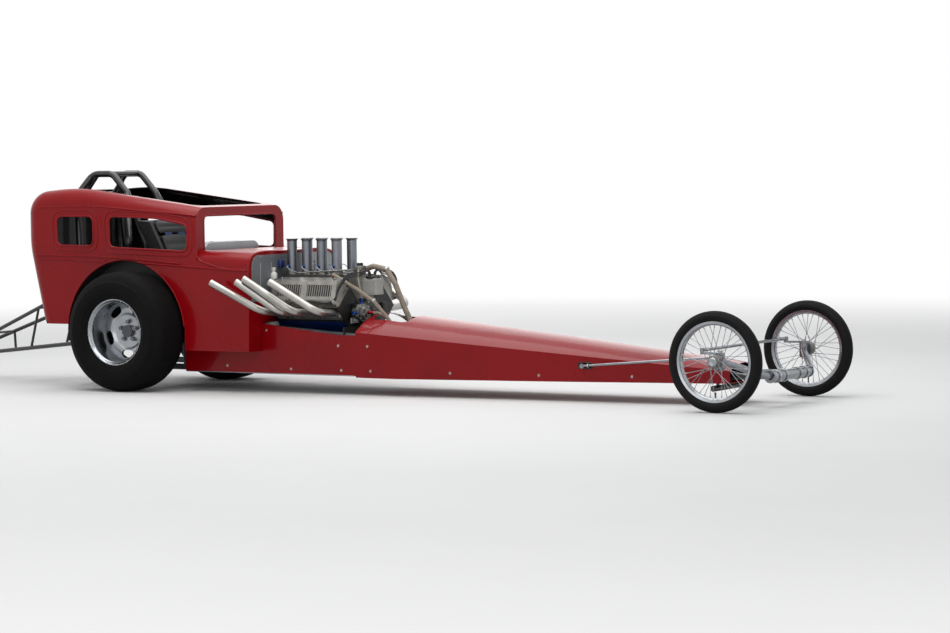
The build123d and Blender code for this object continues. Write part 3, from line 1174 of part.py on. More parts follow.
ARM_RADIUS = 19.0
ARM_BEND = 50.0
ARM_ELBOW = (CROSS_TUBE_X - 12, CROSS_TUBE_HALF_LENGTH + 70, CROSS_TUBE_HEIGHT + 12)
COLLAR_WIDTH = 16.0
COLLAR_LIP = 3.0
YOKE_ROOM_RADIUS = 60.0
AXLE_HEIGHT = FRONT_TYRE_RADIUS
with BuildPart() as front_arms:
    for side_name, side in SIDES:
        tube_end = (CROSS_TUBE_X, side * CROSS_TUBE_HALF_LENGTH, CROSS_TUBE_HEIGHT)
        bent_tube([tube_end, on_side(ARM_ELBOW, side), (WHEELBASE, side * KINGPIN_HALF_TRACK, AXLE_HEIGHT)],
                  ARM_BEND, ARM_RADIUS)
        rod(tube_end, (CROSS_TUBE_X, side * (CROSS_TUBE_HALF_LENGTH + COLLAR_WIDTH), CROSS_TUBE_HEIGHT),
            CROSS_TUBE_RADIUS + COLLAR_LIP)
        rod((WHEELBASE, side * KINGPIN_HALF_TRACK, AXLE_HEIGHT - BOSS_HEIGHT / 2),
            (WHEELBASE, side * KINGPIN_HALF_TRACK, AXLE_HEIGHT + BOSS_HEIGHT / 2), BOSS_RADIUS)
    for side_name, side in SIDES:
        rod((WHEELBASE, side * KINGPIN_HALF_TRACK, AXLE_HEIGHT - BOSS_HEIGHT),
            (WHEELBASE, side * KINGPIN_HALF_TRACK, AXLE_HEIGHT + BOSS_HEIGHT),
            KINGPIN_RADIUS, mode=Mode.SUBTRACT)
        with BuildSketch(side_plane(side * (KINGPIN_HALF_TRACK + BOSS_RADIUS))):
            with Locations((WHEELBASE, AXLE_HEIGHT)):
                Circle(YOKE_ROOM_RADIUS)
        extrude(amount=-side * BOSS_HEIGHT, mode=Mode.SUBTRACT)
    add(front_cross_tube.part, mode=Mode.SUBTRACT)
save(front_arms, "front_arms")

# Locating rods from the nose frame to the cross tube, and the skid tube below the nose
ROD_RADIUS = 12.0
ROD_START = (3962.0, 132.0, 176.0)
ROD_END = (CROSS_TUBE_X - 20, 222.0, CROSS_TUBE_HEIGHT)
SKID_X = 3930.0
SKID_HEIGHT = 98.0
SKID_RADIUS = 17.0
SKID_HALF_LENGTH = 215.0
SKID_POST_Y = 150.0
SKID_POST_TOP = 128.0
SKID_POST_RADIUS = 10.0
with BuildPart() as radius_rods:
    for side_name, side in SIDES:
        rod(on_side(ROD_START, side), on_side(ROD_END, side), ROD_RADIUS)
    rod((SKID_X, -SKID_HALF_LENGTH, SKID_HEIGHT), (SKID_X, SKID_HALF_LENGTH, SKID_HEIGHT), SKID_RADIUS)
    for side_name, side in SIDES:
        rod((SKID_X, side * SKID_POST_Y, SKID_HEIGHT), (SKID_X, side * SKID_POST_Y, SKID_POST_TOP),
            SKID_POST_RADIUS)
    for solid in (cross_tube_space, rail_space, frame_tubes, nose_shell):
        add(solid.part, mode=Mode.SUBTRACT)
save(radius_rods, "radius_rods")

# Knuckles: kingpin, yoke, spindle and steering arms
YOKE_Z = BOSS_HEIGHT / 2 + SIDE_GAP
YOKE_RADIUS = 22.0
YOKE_WEB_THICKNESS = 10.0
YOKE_WEB_GAP = 3.0
SPINDLE_END_Y = 655.0
TIE_ROD_RISE = 24.0
TIE_ROD_Z = AXLE_HEIGHT + YOKE_Z + TIE_ROD_RISE
ARM_WIDTH = 26.0
PIN_REACH = 12.0
TIE_ROD_RADIUS = 9.0
EYE_RADIUS = 14.0
EYE_HALF_HEIGHT = 11.0
DRAG_EYE_HALF_HEIGHT = 9.0
BALL_X = WHEELBASE - STEERING_ARM


def flat_arm(start, end, low):
    """Add a flat steering arm with round ends between two upright axes."""
    run = Vector(*end) - Vector(*start)
    with BuildSketch(level_plane(low)) as arm:
        with Locations(between(start, end, 0.5)):
            SlotCenterToCenter(run.length, ARM_WIDTH, rotation=degrees(atan2(run.Y, run.X)))
    extrude(arm.sketch, amount=YOKE_PLATE)


def upright_pin(x, y, low, high, radius, mode=Mode.ADD):
    """Add or cut an upright round pin."""
    rod((x, y, low), (x, y, high), radius, mode)


YOKE_LOW = AXLE_HEIGHT - YOKE_Z - YOKE_PLATE
YOKE_HIGH = AXLE_HEIGHT + YOKE_Z
for side_name, side in SIDES:
    with BuildPart() as knuckle:
        y_pin = side * KINGPIN_HALF_TRACK
        web_in = side * (KINGPIN_HALF_TRACK + BOSS_RADIUS + YOKE_WEB_GAP)
        web_out = web_in + side * YOKE_WEB_THICKNESS
        upright_pin(WHEELBASE, y_pin, YOKE_LOW, YOKE_HIGH + YOKE_PLATE, KINGPIN_RADIUS - RUNNING_CLEARANCE)
        for low in (YOKE_LOW, YOKE_HIGH):
            with BuildSketch(level_plane(low)):
                with Locations((WHEELBASE, y_pin)):
                    Circle(YOKE_RADIUS)
                with Locations((WHEELBASE, (y_pin + web_out) / 2)):
                    Rectangle(2 * YOKE_RADIUS, abs(web_out - y_pin))
            extrude(amount=YOKE_PLATE)
        with BuildSketch(side_plane(web_in)):
            with Locations((WHEELBASE, AXLE_HEIGHT)):
                Rectangle(2 * YOKE_RADIUS, 2 * (YOKE_Z + YOKE_PLATE))
        extrude(amount=-side * YOKE_WEB_THICKNESS)
        rod((WHEELBASE, web_in, AXLE_HEIGHT), (WHEELBASE, side * SPINDLE_END_Y, AXLE_HEIGHT), SPINDLE_RADIUS)
        flat_arm((WHEELBASE, y_pin), (BALL_X, side * TIE_ROD_HALF), YOKE_HIGH)
        upright_pin(BALL_X, side * TIE_ROD_HALF, YOKE_HIGH, TIE_ROD_Z + PIN_REACH, BALL_PIN_RADIUS)
        if side < 0:
            x_ball, y_ball, z_ball = DRAG_LINK_FRONT
            flat_arm((WHEELBASE, y_pin), (x_ball, y_ball), YOKE_LOW)
            upright_pin(x_ball, y_ball, YOKE_LOW, z_ball + PIN_REACH, BALL_PIN_RADIUS)
    save(knuckle, f"knuckle_{side_name}")

with BuildPart() as tie_rod:
    rod((BALL_X, -TIE_ROD_HALF, TIE_ROD_Z), (BALL_X, TIE_ROD_HALF, TIE_ROD_Z), TIE_ROD_RADIUS)
    for side_name, side in SIDES:
        upright_pin(BALL_X, side * TIE_ROD_HALF, TIE_ROD_Z - EYE_HALF_HEIGHT, TIE_ROD_Z + EYE_HALF_HEIGHT,
                    EYE_RADIUS)
    for side_name, side in SIDES:
        upright_pin(BALL_X, side * TIE_ROD_HALF, TIE_ROD_Z - PIN_REACH, TIE_ROD_Z + PIN_REACH,
                    BALL_PIN_RADIUS + RUNNING_CLEARANCE, Mode.SUBTRACT)
save(tie_rod, "tie_rod")

# Drag link: its rear eye stands outside the nose, and the eye's pin reaches in through the slot
REAR_EYE_HALF_WIDTH = 9.0
REAR_PIN_REACH = 72.0
with BuildPart() as drag_link:
    x_rear, y_rear, z_rear = DRAG_LINK_REAR
    x_ball, y_ball, z_ball = DRAG_LINK_FRONT
    rod(DRAG_LINK_REAR, DRAG_LINK_FRONT, LINK_RADIUS)
    upright_pin(x_ball, y_ball, z_ball - DRAG_EYE_HALF_HEIGHT, z_ball + DRAG_EYE_HALF_HEIGHT, EYE_RADIUS)
    rod((x_rear, y_rear - REAR_EYE_HALF_WIDTH, z_rear), (x_rear, y_rear + REAR_EYE_HALF_WIDTH, z_rear),
        EYE_RADIUS)
    rod((x_rear, y_rear - PIN_REACH, z_rear), (x_rear, y_rear + REAR_PIN_REACH, z_rear), BALL_PIN_RADIUS)
    upright_pin(x_ball, y_ball, z_ball - 2 * PIN_REACH, z_ball + 2 * PIN_REACH,
                BALL_PIN_RADIUS + RUNNING_CLEARANCE, Mode.SUBTRACT)
save(drag_link, "drag_link")

# Front wheels: narrow tyre on a laced wire wheel
FRONT_LIP_RADIUS = 229.0
FRONT_BEAD_RADIUS = 220.0
FRONT_TYRE_SEAT = FRONT_BEAD_RADIUS - 1.0
FRONT_WELL_RADIUS = 204.0
FRONT_LIP_Y = 24.0
FRONT_SEAT_Y = 18.0
FRONT_WELL_Y = 8.0
RIM_LIP_THICKNESS = 4.0
RIM_EDGE_RADIUS = 212.0
HUB_INNER_Y = 604.0
HUB_OUTER_Y = 652.0
HUB_CAP_Y = 668.0
HUB_FLANGE_RADIUS = 38.0
HUB_CORE_RADIUS = 22.0
HUB_CAP_RADIUS = 28.0
HUB_FLANGE_THICKNESS = 5.0
SPOKE_COUNT = 32
SPOKE_CROSSING = 5
SPOKE_RADIUS = 2.6
SPOKE_RING = HUB_FLANGE_RADIUS - 4.0
for side_name, side in SIDES:
    middle = side * FRONT_HALF_TRACK
    half = FRONT_TYRE_WIDTH / 2
    bore = SPINDLE_RADIUS + RUNNING_CLEARANCE
    inner = side * HUB_INNER_Y
    outer = side * HUB_OUTER_Y
    lip = side * HUB_FLANGE_THICKNESS
    with BuildPart() as front_wheel:
        with BuildSketch(wheel_plane(WHEELBASE, AXLE_HEIGHT)):
            with BuildLine():
                Polyline((middle - FRONT_SEAT_Y, FRONT_TYRE_SEAT), (middle + FRONT_SEAT_Y, FRONT_TYRE_SEAT),
                         (middle + half, FRONT_TYRE_RADIUS - half))
                ThreePointArc((middle + half, FRONT_TYRE_RADIUS - half), (middle, FRONT_TYRE_RADIUS),
                              (middle - half, FRONT_TYRE_RADIUS - half))
                Line((middle - half, FRONT_TYRE_RADIUS - half), (middle - FRONT_SEAT_Y, FRONT_TYRE_SEAT))
            make_face()
        revolve(axis=wheel_axis(WHEELBASE, AXLE_HEIGHT))
        with BuildSketch(wheel_plane(WHEELBASE, AXLE_HEIGHT)):
            with BuildLine():
                Polyline((middle - FRONT_LIP_Y, FRONT_LIP_RADIUS),
                         (middle - FRONT_LIP_Y + RIM_LIP_THICKNESS, FRONT_LIP_RADIUS),
                         (middle - FRONT_SEAT_Y, FRONT_BEAD_RADIUS),
                         (middle + FRONT_SEAT_Y, FRONT_BEAD_RADIUS),
                         (middle + FRONT_LIP_Y - RIM_LIP_THICKNESS, FRONT_LIP_RADIUS),
                         (middle + FRONT_LIP_Y, FRONT_LIP_RADIUS),
                         (middle + FRONT_SEAT_Y + RIM_LIP_THICKNESS, RIM_EDGE_RADIUS),
                         (middle + FRONT_WELL_Y, FRONT_WELL_RADIUS),
                         (middle - FRONT_WELL_Y, FRONT_WELL_RADIUS),
                         (middle - FRONT_SEAT_Y - RIM_LIP_THICKNESS, RIM_EDGE_RADIUS), close=True)
            make_face()
        revolve(axis=wheel_axis(WHEELBASE, AXLE_HEIGHT))
        with BuildSketch(wheel_plane(WHEELBASE, AXLE_HEIGHT)):
            with BuildLine():
                Polyline((inner, bore), (inner, HUB_FLANGE_RADIUS), (inner + lip, HUB_FLANGE_RADIUS),
                         (inner + 2 * lip, HUB_CORE_RADIUS), (outer - 3 * lip, HUB_CORE_RADIUS),
                         (outer - 2 * lip, HUB_FLANGE_RADIUS), (outer - lip, HUB_FLANGE_RADIUS),
                         (outer, HUB_FLANGE_RADIUS - HUB_FLANGE_THICKNESS),
                         (side * HUB_CAP_Y - lip, HUB_CAP_RADIUS),
                         (side * HUB_CAP_Y, 0), (outer + lip, 0), (outer + lip, bore), close=True)
            make_face()
        revolve(axis=wheel_axis(WHEELBASE, AXLE_HEIGHT))
        for number in range(SPOKE_COUNT):
            crossing = SPOKE_CROSSING if number % 4 < 2 else -SPOKE_CROSSING
            angle = radians(360 / SPOKE_COUNT * number)
            lace = radians(360 / SPOKE_COUNT * (number + crossing))
            y_hub = inner + lip / 2 if number % 2 else outer - 1.5 * lip
            start = at(WHEELBASE + SPOKE_RING * cos(lace), y_hub, AXLE_HEIGHT + SPOKE_RING * sin(lace))
            rim_ring = FRONT_WELL_RADIUS + RIM_LIP_THICKNESS / 2
            end = at(WHEELBASE + rim_ring * cos(angle), middle, AXLE_HEIGHT + rim_ring * sin(angle))
            with BuildSketch(Plane(origin=start, z_dir=end - start)):
                RegularPolygon(SPOKE_RADIUS, 4)
            extrude(amount=(end - start).length)
    save(front_wheel, f"front_wheel_{side_name}")

# Steering wheel on its shaft, turned towards the driver
STEERING_RIM_THICKNESS = 11.0
STEERING_HUB_RADIUS = 32.0
STEERING_SPOKES = 3
STEERING_SPOKE_WIDTH = 22.0
STEERING_PLATE = 5.0
with BuildPart() as steering_wheel:
    towards_driver = Vector(-cos(radians(STEERING_LEAN)), 0, sin(radians(STEERING_LEAN)))
    column = Plane(origin=at(*STEERING_CENTRE), x_dir=(0, 1, 0), z_dir=towards_driver)
    with BuildSketch(Plane(origin=at(*STEERING_CENTRE), x_dir=(0, 1, 0), z_dir=column.y_dir)):
        with Locations((STEERING_RADIUS, 0)):
            Circle(STEERING_RIM_THICKNESS)
    revolve(axis=Axis(at(*STEERING_CENTRE), towards_driver))
    with BuildSketch(column):
        Circle(STEERING_HUB_RADIUS)
        with PolarLocations(STEERING_RADIUS / 2, STEERING_SPOKES, start_angle=90):
            Rectangle(STEERING_RADIUS, STEERING_SPOKE_WIDTH)
    extrude(amount=STEERING_PLATE)
    with BuildSketch(column):
        Circle(COLUMN_RADIUS)
    extrude(amount=-COLUMN_LENGTH)
save(steering_wheel, "steering_wheel")
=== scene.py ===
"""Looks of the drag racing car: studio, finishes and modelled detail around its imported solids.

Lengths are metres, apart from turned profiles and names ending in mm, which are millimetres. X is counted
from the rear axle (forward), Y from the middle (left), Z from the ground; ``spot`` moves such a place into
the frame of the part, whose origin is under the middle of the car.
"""

import json
import logging
import math
from dataclasses import dataclass
from enum import Enum
from typing import Callable, Iterable, NamedTuple, Optional, Sequence

import bmesh
import bpy
from mathutils import Matrix, Vector

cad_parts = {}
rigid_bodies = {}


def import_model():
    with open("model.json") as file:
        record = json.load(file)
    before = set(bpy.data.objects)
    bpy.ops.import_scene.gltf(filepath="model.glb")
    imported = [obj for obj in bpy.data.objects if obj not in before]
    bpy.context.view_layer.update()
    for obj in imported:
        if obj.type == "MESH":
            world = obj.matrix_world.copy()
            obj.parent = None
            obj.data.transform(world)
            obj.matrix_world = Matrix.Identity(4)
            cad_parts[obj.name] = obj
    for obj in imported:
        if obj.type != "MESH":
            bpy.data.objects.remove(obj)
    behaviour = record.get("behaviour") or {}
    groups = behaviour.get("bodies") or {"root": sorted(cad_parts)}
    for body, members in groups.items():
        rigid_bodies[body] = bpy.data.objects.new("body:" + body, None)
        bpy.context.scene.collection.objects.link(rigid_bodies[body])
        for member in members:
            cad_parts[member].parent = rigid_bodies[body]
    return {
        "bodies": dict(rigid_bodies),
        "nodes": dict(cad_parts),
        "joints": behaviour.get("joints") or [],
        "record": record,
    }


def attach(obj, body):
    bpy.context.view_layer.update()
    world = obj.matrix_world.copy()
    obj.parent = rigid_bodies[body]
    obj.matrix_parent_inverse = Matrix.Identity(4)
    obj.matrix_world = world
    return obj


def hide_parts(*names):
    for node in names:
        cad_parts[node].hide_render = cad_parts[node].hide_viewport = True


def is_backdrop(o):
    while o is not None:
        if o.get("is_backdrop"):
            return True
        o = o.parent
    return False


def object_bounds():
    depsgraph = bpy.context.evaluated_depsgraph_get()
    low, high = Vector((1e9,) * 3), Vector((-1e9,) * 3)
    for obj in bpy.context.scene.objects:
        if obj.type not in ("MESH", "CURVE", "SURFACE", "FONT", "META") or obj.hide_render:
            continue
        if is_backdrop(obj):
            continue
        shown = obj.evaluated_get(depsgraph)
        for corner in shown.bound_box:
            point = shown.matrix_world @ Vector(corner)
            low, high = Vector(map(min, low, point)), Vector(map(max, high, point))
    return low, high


LOG = logging.getLogger("drag_car")
REAR_AXLE_X = -1.240
REAR_AXLE_HEIGHT = 0.375
FULL_TURN = 2 * math.pi
SMOOTH_ANGLE = math.radians(38)
LOOKS_UP = 0.9
PIPE_SECTION_STEPS = 3
PIPE_CURVE_STEPS = 8
MM = 0.001
FORWARD, LEFTWARD, UPWARD = (1, 0, 0), (0, 1, 0), (0, 0, 1)
ORIGIN = (0, 0, 0)
WHITE = (1, 1, 1, 1)
Point = Sequence[float]
Profile = Sequence[tuple[float, float]]
Socket = bpy.types.NodeSocket


def spot(x: float, y: float, z: float) -> Vector:
    """Return a place of the car in the part's frame."""
    return Vector((REAR_AXLE_X + x, y, z))


class Side(NamedTuple):
    """One side of the car, for what stands on both."""

    name: str
    sign: int

    def spot(self, x: float, out: float, z: float) -> Vector:
        """Return a place on this side, a distance out from the car's middle."""
        return spot(x, self.sign * out, z)

    def direction(self, out: float = 1.0, up: float = 0.0, ahead: float = 0.0) -> Vector:
        """Return a direction made of an outward, an upward and a forward share."""
        return Vector((ahead, self.sign * out, up))


SIDES = (Side("right", -1), Side("left", 1))


def linear(colour: str) -> tuple[float, float, float, float]:
    """Turn an sRGB hex colour into the linear colour a socket takes.

    Args:
        colour: Six hex digits.

    Returns:
        Linear red, green, blue and an alpha of 1.
    """
    parts = [int(colour[i:i + 2], 16) / 255 for i in (0, 2, 4)]
    red, green, blue = (c / 12.92 if c <= 0.04045 else ((c + 0.055) / 1.055) ** 2.4 for c in parts)
    return red, green, blue, 1.0


def add_node(tree: bpy.types.NodeTree, kind: str, inputs: Optional[dict] = None,
             **settings: str) -> bpy.types.Node:
    """Add a node with its settings, and set or link its inputs.

    Args:
        tree: Node tree that the node joins.
        kind: Node type.
        inputs: Value or socket for each input, by name or number.
        settings: Properties of the node itself.

    Returns:
        The new node.
    """
    node = tree.nodes.new(kind)
    for key, value in settings.items():
        setattr(node, key, value)
    for key, value in (inputs or {}).items():
        if isinstance(value, Socket):
            tree.links.new(value, node.inputs[key])
        else:
            node.inputs[key].default_value = value
    return node


def reckon(tree: bpy.types.NodeTree, operation: str, *values: Socket | float) -> Socket:
    """Return the result of one calculation with sockets or numbers."""
    return add_node(tree, "ShaderNodeMath", dict(enumerate(values)), operation=operation).outputs["Value"]


def reckon_vector(tree: bpy.types.NodeTree, operation: str, *values: Socket | Point) -> bpy.types.Node:
    """Return the node of one calculation with vectors."""
    return add_node(tree, "ShaderNodeVectorMath", dict(enumerate(values)), operation=operation)


def ramp(tree: bpy.types.NodeTree, value: Socket, low: float, high: float, **inputs: float) -> Socket:
    """Return a value that runs from 0 to 1, or to other ends, while another runs from low to high."""
    return add_node(tree, "ShaderNodeMapRange", {"Value": value, "From Min": low, "From Max": high,
                                                 **inputs}).outputs["Result"]


def mix_colours(tree: bpy.types.NodeTree, share: Socket, first: Socket | tuple, second: tuple) -> Socket:
    """Return a colour that goes from the first to the second as the share goes from 0 to 1."""
    inputs = {"Factor": share, 6: first, 7: second}
    return add_node(tree, "ShaderNodeMix", inputs, data_type="RGBA").outputs[2]


class Surface(Enum):
    """How a finish's surface was made, which sets its fine relief."""

    SPRAYED = "sprayed"
    CAST = "cast"
    BRUSHED = "brushed"
    POLISHED = "polished"
    MOULDED = "moulded"
    WOVEN = "woven"


@dataclass(frozen=True)
class Finish:
    """One real material with its colours, shine and fine relief.

    Sizes are in millimetres: grain_mm is the width of one grain of the relief, relief_mm its height and
    patch_mm the width of the patches in which the colour drifts towards ``second``.
    """

    name: str
    colour: str
    second: str
    roughness: float
    surface: Surface = Surface.MOULDED
    metallic: float = 0.0
    coat: float = 0.0
    grain_mm: float = 2.0
    relief_mm: float = 0.05
    patch_mm: float = 120.0
    drift: float = 0.5
    roughness_drift: float = 0.08
    specular: float = 0.5

    def material(self) -> bpy.types.Material:
        """Return the material of this finish, built on first use."""
        label = f"finish_{self.name}"
        known = bpy.data.materials.get(label)
        if known is not None:
            return known
        material = bpy.data.materials.new(label)
        material.use_nodes = True
        tree = material.node_tree
        tree.nodes.clear()
        place = add_node(tree, "ShaderNodeTexCoord").outputs["Object"]
        colour, patches = self.colour_sockets(tree, place)
        bump = add_node(tree, "ShaderNodeBump", {"Height": self.relief_socket(tree, place), "Strength": 0.6,
                                                 "Distance": self.relief_mm * MM})
        rough = ramp(tree, patches, 0, 1, **{"To Min": self.roughness,
                                             "To Max": self.roughness + self.roughness_drift})
        shader = add_node(tree, "ShaderNodeBsdfPrincipled", {
            "Base Color": colour, "Metallic": self.metallic, "Roughness": rough,
            "Normal": bump.outputs["Normal"], "Coat Weight": self.coat, "Coat Roughness": 0.03,
            "Specular IOR Level": self.specular})
        add_node(tree, "ShaderNodeOutputMaterial", {"Surface": shader.outputs["BSDF"]})
        return material

    def colour_sockets(self, tree: bpy.types.NodeTree, place: Socket) -> tuple[Socket, Socket]:
        """Return the colour with its slow drift, and the drift's own patches.

        Args:
            tree: Node tree of the material.
            place: Object coordinates.

        Returns:
            The colour socket and the patches' socket.
        """
        noise = add_node(tree, "ShaderNodeTexNoise", {"Vector": place, "Scale": 1 / (self.patch_mm * MM),
                                                      "Detail": 5.0, "Roughness": 0.6})
        patches = ramp(tree, noise.outputs["Fac"], 0.4, 0.72, **{"To Max": self.drift})
        return mix_colours(tree, patches, linear(self.colour), linear(self.second)), patches

    def relief_socket(self, tree: bpy.types.NodeTree, place: Socket) -> Socket:
        """Return the height of the fine relief.

        Args:
            tree: Node tree of the material.
            place: Object coordinates.

        Returns:
            A socket from 0 to 1.
        """
        scale, detail = 1 / (self.grain_mm * MM), 2.0
        if self.surface is Surface.BRUSHED:
            lengthwise = add_node(tree, "ShaderNodeMapping", {"Vector": place, "Scale": (0.04, 1.0, 1.0)})
            place, detail = lengthwise.outputs["Vector"], 3.0
        if self.surface is Surface.WOVEN:
            inputs = {"Vector": place, "Scale": scale / 6, "Distortion": 0.4}
            threads = [add_node(tree, "ShaderNodeTexWave", inputs, bands_direction=direction).outputs["Fac"]
                       for direction in ("DIAGONAL", "Z")]
            return reckon(tree, "MAXIMUM", *threads)
        if self.surface is Surface.CAST:
            return add_node(tree, "ShaderNodeTexVoronoi", {"Vector": place, "Scale": scale},
                            feature="SMOOTH_F1").outputs["Distance"]
        noise = add_node(tree, "ShaderNodeTexNoise", {"Vector": place, "Scale": scale, "Detail": detail})
        return noise.outputs["Fac"]


@dataclass(frozen=True)
class StripedEnamel(Finish):
    """Enamel with painted lengthwise bands: each band is (middle Y, half width, X of its point, taper)."""

    bands: tuple = ()
    band_colour: str = "E9E3E6"
    edge_m: float = 0.0015

    def colour_sockets(self, tree: bpy.types.NodeTree, place: Socket) -> tuple[Socket, Socket]:
        """Return the enamel's colour with the bands painted over it, and its patches.

        Args:
            tree: Node tree of the material.
            place: Object coordinates.

        Returns:
            The colour socket and the patches' socket.
        """
        colour, patches = super().colour_sockets(tree, place)
        axes = add_node(tree, "ShaderNodeSeparateXYZ", {"Vector": place}).outputs
        for middle, half_width, point_x, taper in self.bands:
            away = reckon(tree, "ABSOLUTE", reckon(tree, "SUBTRACT", axes["Y"], middle))
            ahead = reckon(tree, "SUBTRACT", axes["X"], REAR_AXLE_X + point_x)
            width = reckon(tree, "MINIMUM", reckon(tree, "MULTIPLY", ahead, taper), half_width)
            mask = ramp(tree, reckon(tree, "SUBTRACT", width, away), 0.0, self.edge_m)
            colour = mix_colours(tree, mask, colour, linear(self.band_colour))
        return colour, patches


@dataclass(frozen=True)
class InnerShadeEnamel(Finish):
    """Enamel on the outside of a hollow body, with painted shade: its inner faces are coloured near black for
    the shade inside.
    """

    middle: tuple = (REAR_AXLE_X - 0.15, 0.0, 0.75)
    painted_shade_colour: str = "0B0B0C"
    fade: float = 0.02

    def colour_sockets(self, tree: bpy.types.NodeTree, place: Socket) -> tuple[Socket, Socket]:
        """Return the enamel outside, and painted shade in near black where a face looks to the body's middle.

        Args:
            tree: Node tree of the material.
            place: Object coordinates.

        Returns:
            The colour socket and the patches' socket.
        """
        colour, patches = super().colour_sockets(tree, place)
        outwards = reckon_vector(tree, "SUBTRACT", place, self.middle).outputs["Vector"]
        normal = add_node(tree, "ShaderNodeTexCoord").outputs["Normal"]
        facing = reckon_vector(tree, "DOT_PRODUCT", outwards, normal).outputs["Value"]
        # Painted shade: faces that look towards the body's middle fade to near black
        inside = ramp(tree, facing, 0.0, -self.fade)
        return mix_colours(tree, inside, colour, linear(self.painted_shade_colour)), patches


@dataclass(frozen=True)
class FrontDarkenedEnamel(Finish):
    """Enamel that ends at a place along the car, with oily dark iron in front of it."""

    front_x: float = 1.435
    front_colour: str = "151413"

    def colour_sockets(self, tree: bpy.types.NodeTree, place: Socket) -> tuple[Socket, Socket]:
        """Return the enamel's colour, and the iron's in front of ``front_x``.

        Args:
            tree: Node tree of the material.
            place: Object coordinates.

        Returns:
            The colour socket and the patches' socket.
        """
        colour, patches = super().colour_sockets(tree, place)
        along = add_node(tree, "ShaderNodeSeparateXYZ", {"Vector": place}).outputs["X"]
        ahead = reckon(tree, "GREATER_THAN", along, REAR_AXLE_X + self.front_x)
        return mix_colours(tree, ahead, colour, linear(self.front_colour)), patches


# Two-pack red enamel, sprayed and polished: deep crimson under a clear gloss that mirrors the sky
RED_PAINT = {"colour": "8A030C", "second": "700209", "roughness": 0.26, "surface": Surface.SPRAYED,
             "coat": 0.20, "specular": 0.12, "grain_mm": 9.0, "relief_mm": 0.008, "patch_mm": 700.0,
             "drift": 0.6, "roughness_drift": 0.05}
RED_ENAMEL = Finish("red_enamel", **RED_PAINT)
# The same enamel on the cab's shell, with painted shade: its inner faces are coloured near black for the shade
# inside the cab
CAB_ENAMEL_INNER_SHADE = InnerShadeEnamel("red_enamel_cab_lined", **RED_PAINT)
# The same enamel with pale lilac bands running forward over the far side of the crown: partly a painted stripe,
# partly a painted sky reflection
NOSE_ENAMEL_STRIPE_AND_REFLECTION = StripedEnamel("red_enamel_nose_bands", **RED_PAINT, band_colour="DAD2DE",
                            bands=((0.085, 0.045, -1.0, 1.0), (0.150, 0.006, -1.0, 1.0)))
COWL_ENAMEL = StripedEnamel("red_enamel_cowl_bands", **RED_PAINT, band_colour="E6E1E4",
                            bands=((0.0, 0.036, 0.60, 0.30), (0.110, 0.030, 0.56, 0.30),
                                   (0.225, 0.040, 0.56, 0.35)))
# Rolled aluminium sheet, scuffed by hand: grey with a soft lengthwise sheen
SHEET_ALUMINIUM = Finish("sheet_aluminium_brushed", "9EA0A3", "7F8185", 0.36, Surface.BRUSHED, metallic=1.0,
                         grain_mm=1.6, relief_mm=0.04, patch_mm=160.0)
# Etched bulkhead sheet: flat silver grey that hardly mirrors
BULKHEAD_GREY = Finish("bulkhead_sheet_satin", "8E9194", "767A7E", 0.50, Surface.BRUSHED, metallic=0.75,
                       relief_mm=0.03, patch_mm=220.0)
# Sand-cast aluminium, cleaned but not polished: grainy mid grey with oil in the low places
CAST_ALUMINIUM = Finish("cast_aluminium", "80807C", "48443D", 0.44, Surface.CAST, metallic=1.0, grain_mm=2.6,
                        relief_mm=0.25, patch_mm=60.0, roughness_drift=0.2)
# Buffed cast covers: brighter faces, brown heat and oil staining in patches
BUFFED_CASTING = Finish("buffed_cast_aluminium", "9C9A95", "5A4E42", 0.32, Surface.CAST, metallic=1.0,
                        grain_mm=3.0, relief_mm=0.12, patch_mm=45.0, roughness_drift=0.25)
# Spun aluminium, satin: vertical highlights on soft grey
SPUN_ALUMINIUM = Finish("spun_aluminium_satin", "7E8187", "686B71", 0.38, Surface.BRUSHED, metallic=1.0,
                        grain_mm=1.2, relief_mm=0.01, patch_mm=90.0)
# Polished wheel aluminium: bright, with fine washing marks
POLISHED_ALUMINIUM = Finish("polished_aluminium", "A3A6AA", "7F8286", 0.24, Surface.POLISHED, metallic=1.0,
                            grain_mm=6.0, relief_mm=0.02, patch_mm=80.0, roughness_drift=0.12)
# Bright chromium plate: near mirror with faint water spots
CHROME = Finish("chrome_plate", "8E9196", "6A6D72", 0.16, Surface.POLISHED, metallic=1.0, grain_mm=14.0,
                relief_mm=0.01, patch_mm=40.0, roughness_drift=0.10)
# Silver ceramic coating baked on steel pipe: pale satin with straw tint where it runs hot
CERAMIC_SILVER = Finish("ceramic_coated_steel", "ACAAA6", "7E786E", 0.28, Surface.SPRAYED, metallic=0.9,
                        relief_mm=0.008, patch_mm=110.0, roughness_drift=0.12)
# Black powder coat on tube: dark satin, greyer where belts and hands rub it
BLACK_POWDER_COAT = Finish("black_powder_coated_steel", "0E0F11", "2A2B2E", 0.33, Surface.SPRAYED, coat=0.3,
                           grain_mm=3.0, patch_mm=150.0)
# Grey enamelled frame tube: satin with road film
GREY_ENAMEL = Finish("grey_enamelled_steel", "4B4E53", "35373A", 0.40, Surface.SPRAYED, coat=0.15,
                     grain_mm=3.0, patch_mm=140.0)
# Bare tube loops polished by handling: light grey metal
BARE_STEEL = Finish("bare_steel_tube", "9A9B9D", "6F7073", 0.30, Surface.BRUSHED, metallic=1.0, grain_mm=1.5,
                    relief_mm=0.03, patch_mm=70.0)
# Blue engine enamel dulled by oil and dust
BLUE_PAINT = {"colour": "10296A", "second": "080E1B", "roughness": 0.36, "surface": Surface.SPRAYED,
              "grain_mm": 2.5, "relief_mm": 0.12, "patch_mm": 70.0, "roughness_drift": 0.25}
BLUE_ENAMEL = Finish("blue_engine_enamel", **BLUE_PAINT, coat=0.25)
# The block's blue enamel, ending at the oily front cover
BLOCK_ENAMEL = FrontDarkenedEnamel("blue_block_enamel_dark_front", **BLUE_PAINT, coat=0.15, specular=0.3)
